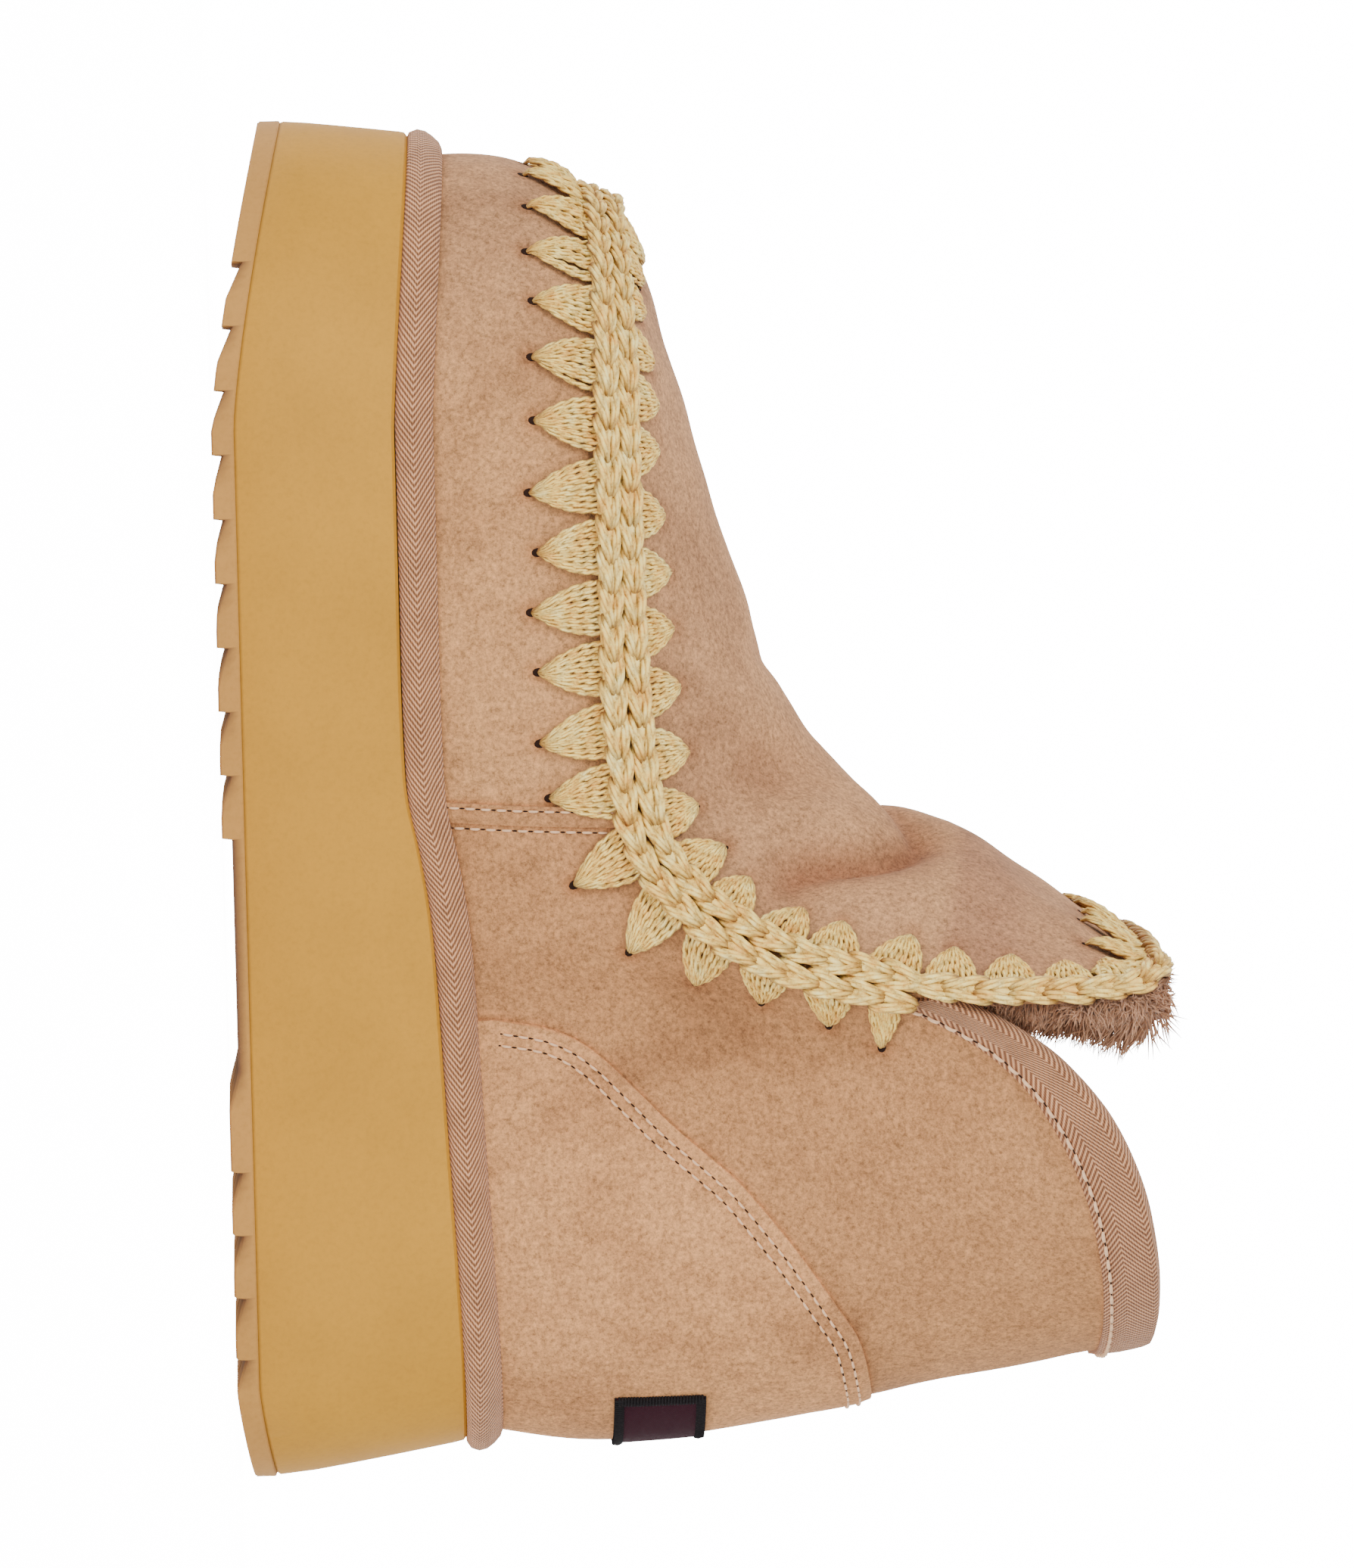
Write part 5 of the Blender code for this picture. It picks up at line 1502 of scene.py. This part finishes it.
def build_platform():
    rows, tones = [], []
    base_tone = np.array([0.575, 0.278, 0.020])
    for station in rounded_stations(170):
        low, high = parting_height(station) + 0.0001, platform_height(station)
        levels = [((0.004,) * 3, low - 0.0008, 1.0), ((0.0012,) * 3, low - 0.0008, 1.0),
                  (blend_insets(PLATFORM_TOP_INSET, 0.12), low, 1.0),
                  (blend_insets(PLATFORM_TOP_INSET, 0.05), low + 0.0006, 1.0)]
        for up in (0.2, 0.4, 0.6, 0.8, 0.93):
            levels.append((blend_insets(PLATFORM_TOP_INSET, up ** 1.12), low + (high - low) * up, 1.0))
        levels += [(PLATFORM_TOP_INSET, high - 0.0006, 1.0),
                   (tuple(v + 0.0008 for v in PLATFORM_TOP_INSET), high, 1.0),
                   (tuple(v + 0.010 for v in PLATFORM_TOP_INSET), high, 1.0)]
        rows.append(sole_section(station, levels))
        half = [base_tone * 0.7] * 3 + [base_tone] * (len(levels) - 3)
        tones += half + half[::-1]
    sole_piece("platform_body", rows, tones, RUBBER, "platform", 35)


build_tread()
build_platform()

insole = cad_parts["insole"]
INSOLE = plain_material("insole_pile", (0.42, 0.21, 0.09), 1.0, 500, 0.0004)
insole.data.materials.clear()
insole.data.materials.append(INSOLE)


# The pile

def pile(name, roots, inwards, downs, depth, length, count, replaces, seed):
    """Plush wool: a lumpy closed ground as deep as the dense wool, and fine hairs that stand on it.

    A third of the hairs stand on the ground's side walls: at its first row, and at both its ends.
    """
    rng = np.random.default_rng(seed)
    rows, columns = roots.shape[:2]
    row, column = np.indices((rows, columns))
    border = np.minimum(np.minimum(row, rows - 1 - row), np.minimum(column, columns - 1 - column))
    thick = depth * np.clip(0.30 + 0.26 * border, 0, 1)
    flat = roots.reshape(-1, 3)
    lumps = [noise.noise(Vector(p) * 170) * 0.0016 + noise.noise(Vector(p) * 60) * 0.0018 for p in flat]
    thick = thick + np.array(lumps).reshape(rows, columns)
    face = roots + inwards * np.maximum(thick, 0.0012)[..., None]
    points, quads = slab(face, roots)
    ground = make_piece(name + "_ground", points, quads, FLEECE, smooth=180)
    # Painted shade: the ground is darker, as wool deep in the pile
    paint(ground, "tone", np.full((len(points), 3), 0.42))
    away = np.zeros_like(roots)
    away[0] += unit(roots[0] - roots[1])
    away[:, 0] += unit(roots[:, 0] - roots[:, 1])
    away[:, -1] += unit(roots[:, -1] - roots[:, -2])

    a = rng.uniform(0, rows - 1.001, count)
    b = rng.uniform(0, columns - 1.001, count)
    level, aside = np.ones(count), np.zeros(count)
    walls, top = count // 3, count // 6
    a[:top] = 0
    b[top:walls] = np.where(rng.random(walls - top) < 0.5, 0, columns - 1.001)
    level[:walls] = rng.uniform(0, 1, walls)
    aside[:walls] = 1
    i, k = a.astype(int), b.astype(int)
    fa, fb = (a - i)[:, None], (b - k)[:, None]

    def sample(grid):
        return (grid[i, k] * (1 - fa) * (1 - fb) + grid[i + 1, k] * fa * (1 - fb)
                + grid[i, k + 1] * (1 - fa) * fb + grid[i + 1, k + 1] * fa * fb)

    inward, down, outside = unit(sample(inwards)), unit(sample(downs)), sample(away)
    root = sample(roots) + (sample(face) - sample(roots)) * level[:, None]
    sway = np.array([tuple(noise.noise_vector(Vector(p) * 210)) for p in root])
    direction = inward * (0.35 + 0.65 * level)[:, None] + outside * (0.25 + 0.35 * aside)[:, None]
    direction = unit(direction + down * 0.30 + sway * 1.1 + rng.normal(0, 0.22, (count, 3)))
    reach = length * rng.uniform(0.65, 1.1, (count, 1)) * (1 - 0.42 * aside)[:, None]
    bend = rng.normal(0, 0.00035, (count, 3))
    paths = np.stack([root - direction * 0.0008, root + direction * reach * 0.5 + bend,
                      root + direction * reach - bend], axis=1)
    normals = np.repeat(unit(rng.normal(0, 1, (count, 3)))[:, None], 3, axis=1)
    radii = np.array([0.00026, 0.00020, 0.00003])[None].repeat(count, 0)
    points, quads, _, _ = tubes(paths, normals, radii, 3)
    hairs = make_piece(name, points, quads, FLEECE, replaces, 180)
    # Painted shade deep in the wool: each hair darker at its root than at its tip, with a random tone on top
    along = np.repeat(np.array([0.36, 0.70, 1.0]), 3)[None].repeat(count, 0)
    tone = np.clip(along * rng.uniform(0.80, 1.1, (count, 1)), 0, 1).ravel()
    paint(hairs, "tone", np.repeat(tone[:, None], 3, axis=1))


def build_shaft_pile():
    roots, inwards, downs = [], [], []
    for side, rib in rear_loop(SPLIT_RIB + 0.016, 0.006):
        foot, normal = foot_point(side, rib)
        top = top_point(side, rib)
        low = foot[2] + 0.006
        high = top[2] - 0.0075
        column = np.array([wall_at(side, rib, h) for h in np.linspace(high, low, 40)])
        hit, face = on_skin(column, normal)
        roots.append(hit - face * (WALL + 0.0004))
        inwards.append(-face)
        downs.append(unit(np.gradient(column, axis=0)))
    roots, inwards, downs = np.array(roots), np.array(inwards), np.array(downs)
    pile("shaft_pile", roots, inwards, downs, 0.0115, 0.0055, 14500, ["shaft_fleece"], 21)


def build_flap_pile():
    roots, inwards, downs = [], [], []
    for rise in np.linspace(1.0, 0.06, 26):
        row = flap_row(rise, np.linspace(-0.97, 0.97, 50))
        hit, face = on_skin(row, np.array([1.0, 0, 0.2]))
        roots.append(hit - face * (WALL + 0.0010))
        inwards.append(-face)
        downs.append(np.tile([0.1, 0, -1.0], (50, 1)))
    roots, inwards, downs = np.array(roots), np.array(inwards), np.array(downs)
    # The wool comes over the skin's cut edge
    roots[0] += unit(roots[0] - roots[1]) * 0.0011 - inwards[0] * 0.0026
    for edge, next_in in ((0, 1), (-1, -2)):
        over = unit(roots[:12, edge] - roots[:12, next_in]) * 0.0022 - inwards[:12, edge] * 0.0022
        roots[:12, edge] += over
    pile("flap_pile", roots, inwards, downs, 0.0095, 0.0062, 15500, ["flap_fleece"], 22)


build_shaft_pile()
build_flap_pile()


# Floor, light and camera

def build_stage():
    bend, far, near, half, high = 0.5, -1.2, 2.6, 3.0, 2.4
    profile = [(near, 0.0), (far, 0.0)]
    for k in range(1, 13):
        turn = math.pi / 2 * k / 12
        profile.append((far - bend * math.sin(turn), bend - bend * math.cos(turn)))
    profile.append((far - bend, high))
    points = [(x, y, z) for y, z in profile for x in (-half, half)]
    mesh = bpy.data.meshes.new("floor")
    faces = [(2 * k, 2 * k + 1, 2 * k + 3, 2 * k + 2) for k in range(len(profile) - 1)]
    mesh.from_pydata(points, [], faces)
    mesh.shade_smooth()
    floor = bpy.data.objects.new("floor", mesh)
    bpy.context.scene.collection.objects.link(floor)
    n = Nodes("floor")
    n.set(Roughness=0.9, Specular_IOR_Level=0.1)
    n.shader.inputs["Base Color"].default_value = (0.92, 0.92, 0.92, 1)
    n.shader.inputs["Emission Color"].default_value = (1, 1, 1, 1)
    seen = n.node("ShaderNodeLightPath").outputs["Is Camera Ray"]
    n.link(n.math('ADD', n.math('MULTIPLY', seen, 14.0), 0.42), n.shader.inputs["Emission Strength"])
    mesh.materials.append(n.material)


def area_light(name, place, aim, size, power, colour=(1, 1, 1)):
    data = bpy.data.lights.new(name, 'AREA')
    data.shape = 'RECTANGLE'
    data.size, data.size_y = size
    data.energy = power
    data.color = colour
    lamp = bpy.data.objects.new(name, data)
    lamp.location = place
    lamp.rotation_euler = (Vector(aim) - Vector(place)).to_track_quat('-Z', 'Y').to_euler()
    bpy.context.scene.collection.objects.link(lamp)


def build_light():
    world = bpy.data.worlds.new("studio")
    bpy.context.scene.world = world
    world.use_nodes = True
    world.node_tree.nodes["Background"].inputs["Color"].default_value = (1, 1, 1, 1)
    world.node_tree.nodes["Background"].inputs["Strength"].default_value = 0.52
    area_light("key", (0.9, 1.5, 1.1), (0, 0, 0.09), (0.9, 0.9), 25)
    area_light("fill", (-1.1, 1.5, 0.6), (0, 0, 0.09), (1.2, 1.0), 9)
    area_light("top", (0.0, -0.2, 1.6), (0, 0, 0.1), (1.5, 1.5), 10)
    area_light("backdrop", (0.0, -0.7, 1.2), (0, -1.6, 0.3), (2.0, 0.5), 14)


def build_camera():
    """Level with the floor at the boot's outer side, rolled so that the toe points up the picture."""
    data = bpy.data.cameras.new("camera")
    camera = bpy.data.objects.new("camera", data)
    bpy.context.scene.collection.objects.link(camera)
    distance, frame_height = 1.95, 0.318
    data.sensor_width = 36
    data.lens = 36 * distance / frame_height
    data.clip_end = 50
    place = Vector((0.085, distance, 0.006))
    aim = Vector((0.001, 0, 0.0925))
    camera.location = place
    back = (place - aim).normalized()
    tilt = math.radians(1.43)
    toe = Vector((math.cos(tilt), 0, math.sin(tilt)))
    up = (toe - back * toe.dot(back)).normalized()
    right = up.cross(back)
    turned = Matrix((right, up, back)).transposed()
    camera.matrix_world = Matrix.Translation(place) @ turned.to_4x4()
    bpy.context.scene.camera = camera


build_stage()
build_light()
build_camera()

bpy.context.view_layer.update()
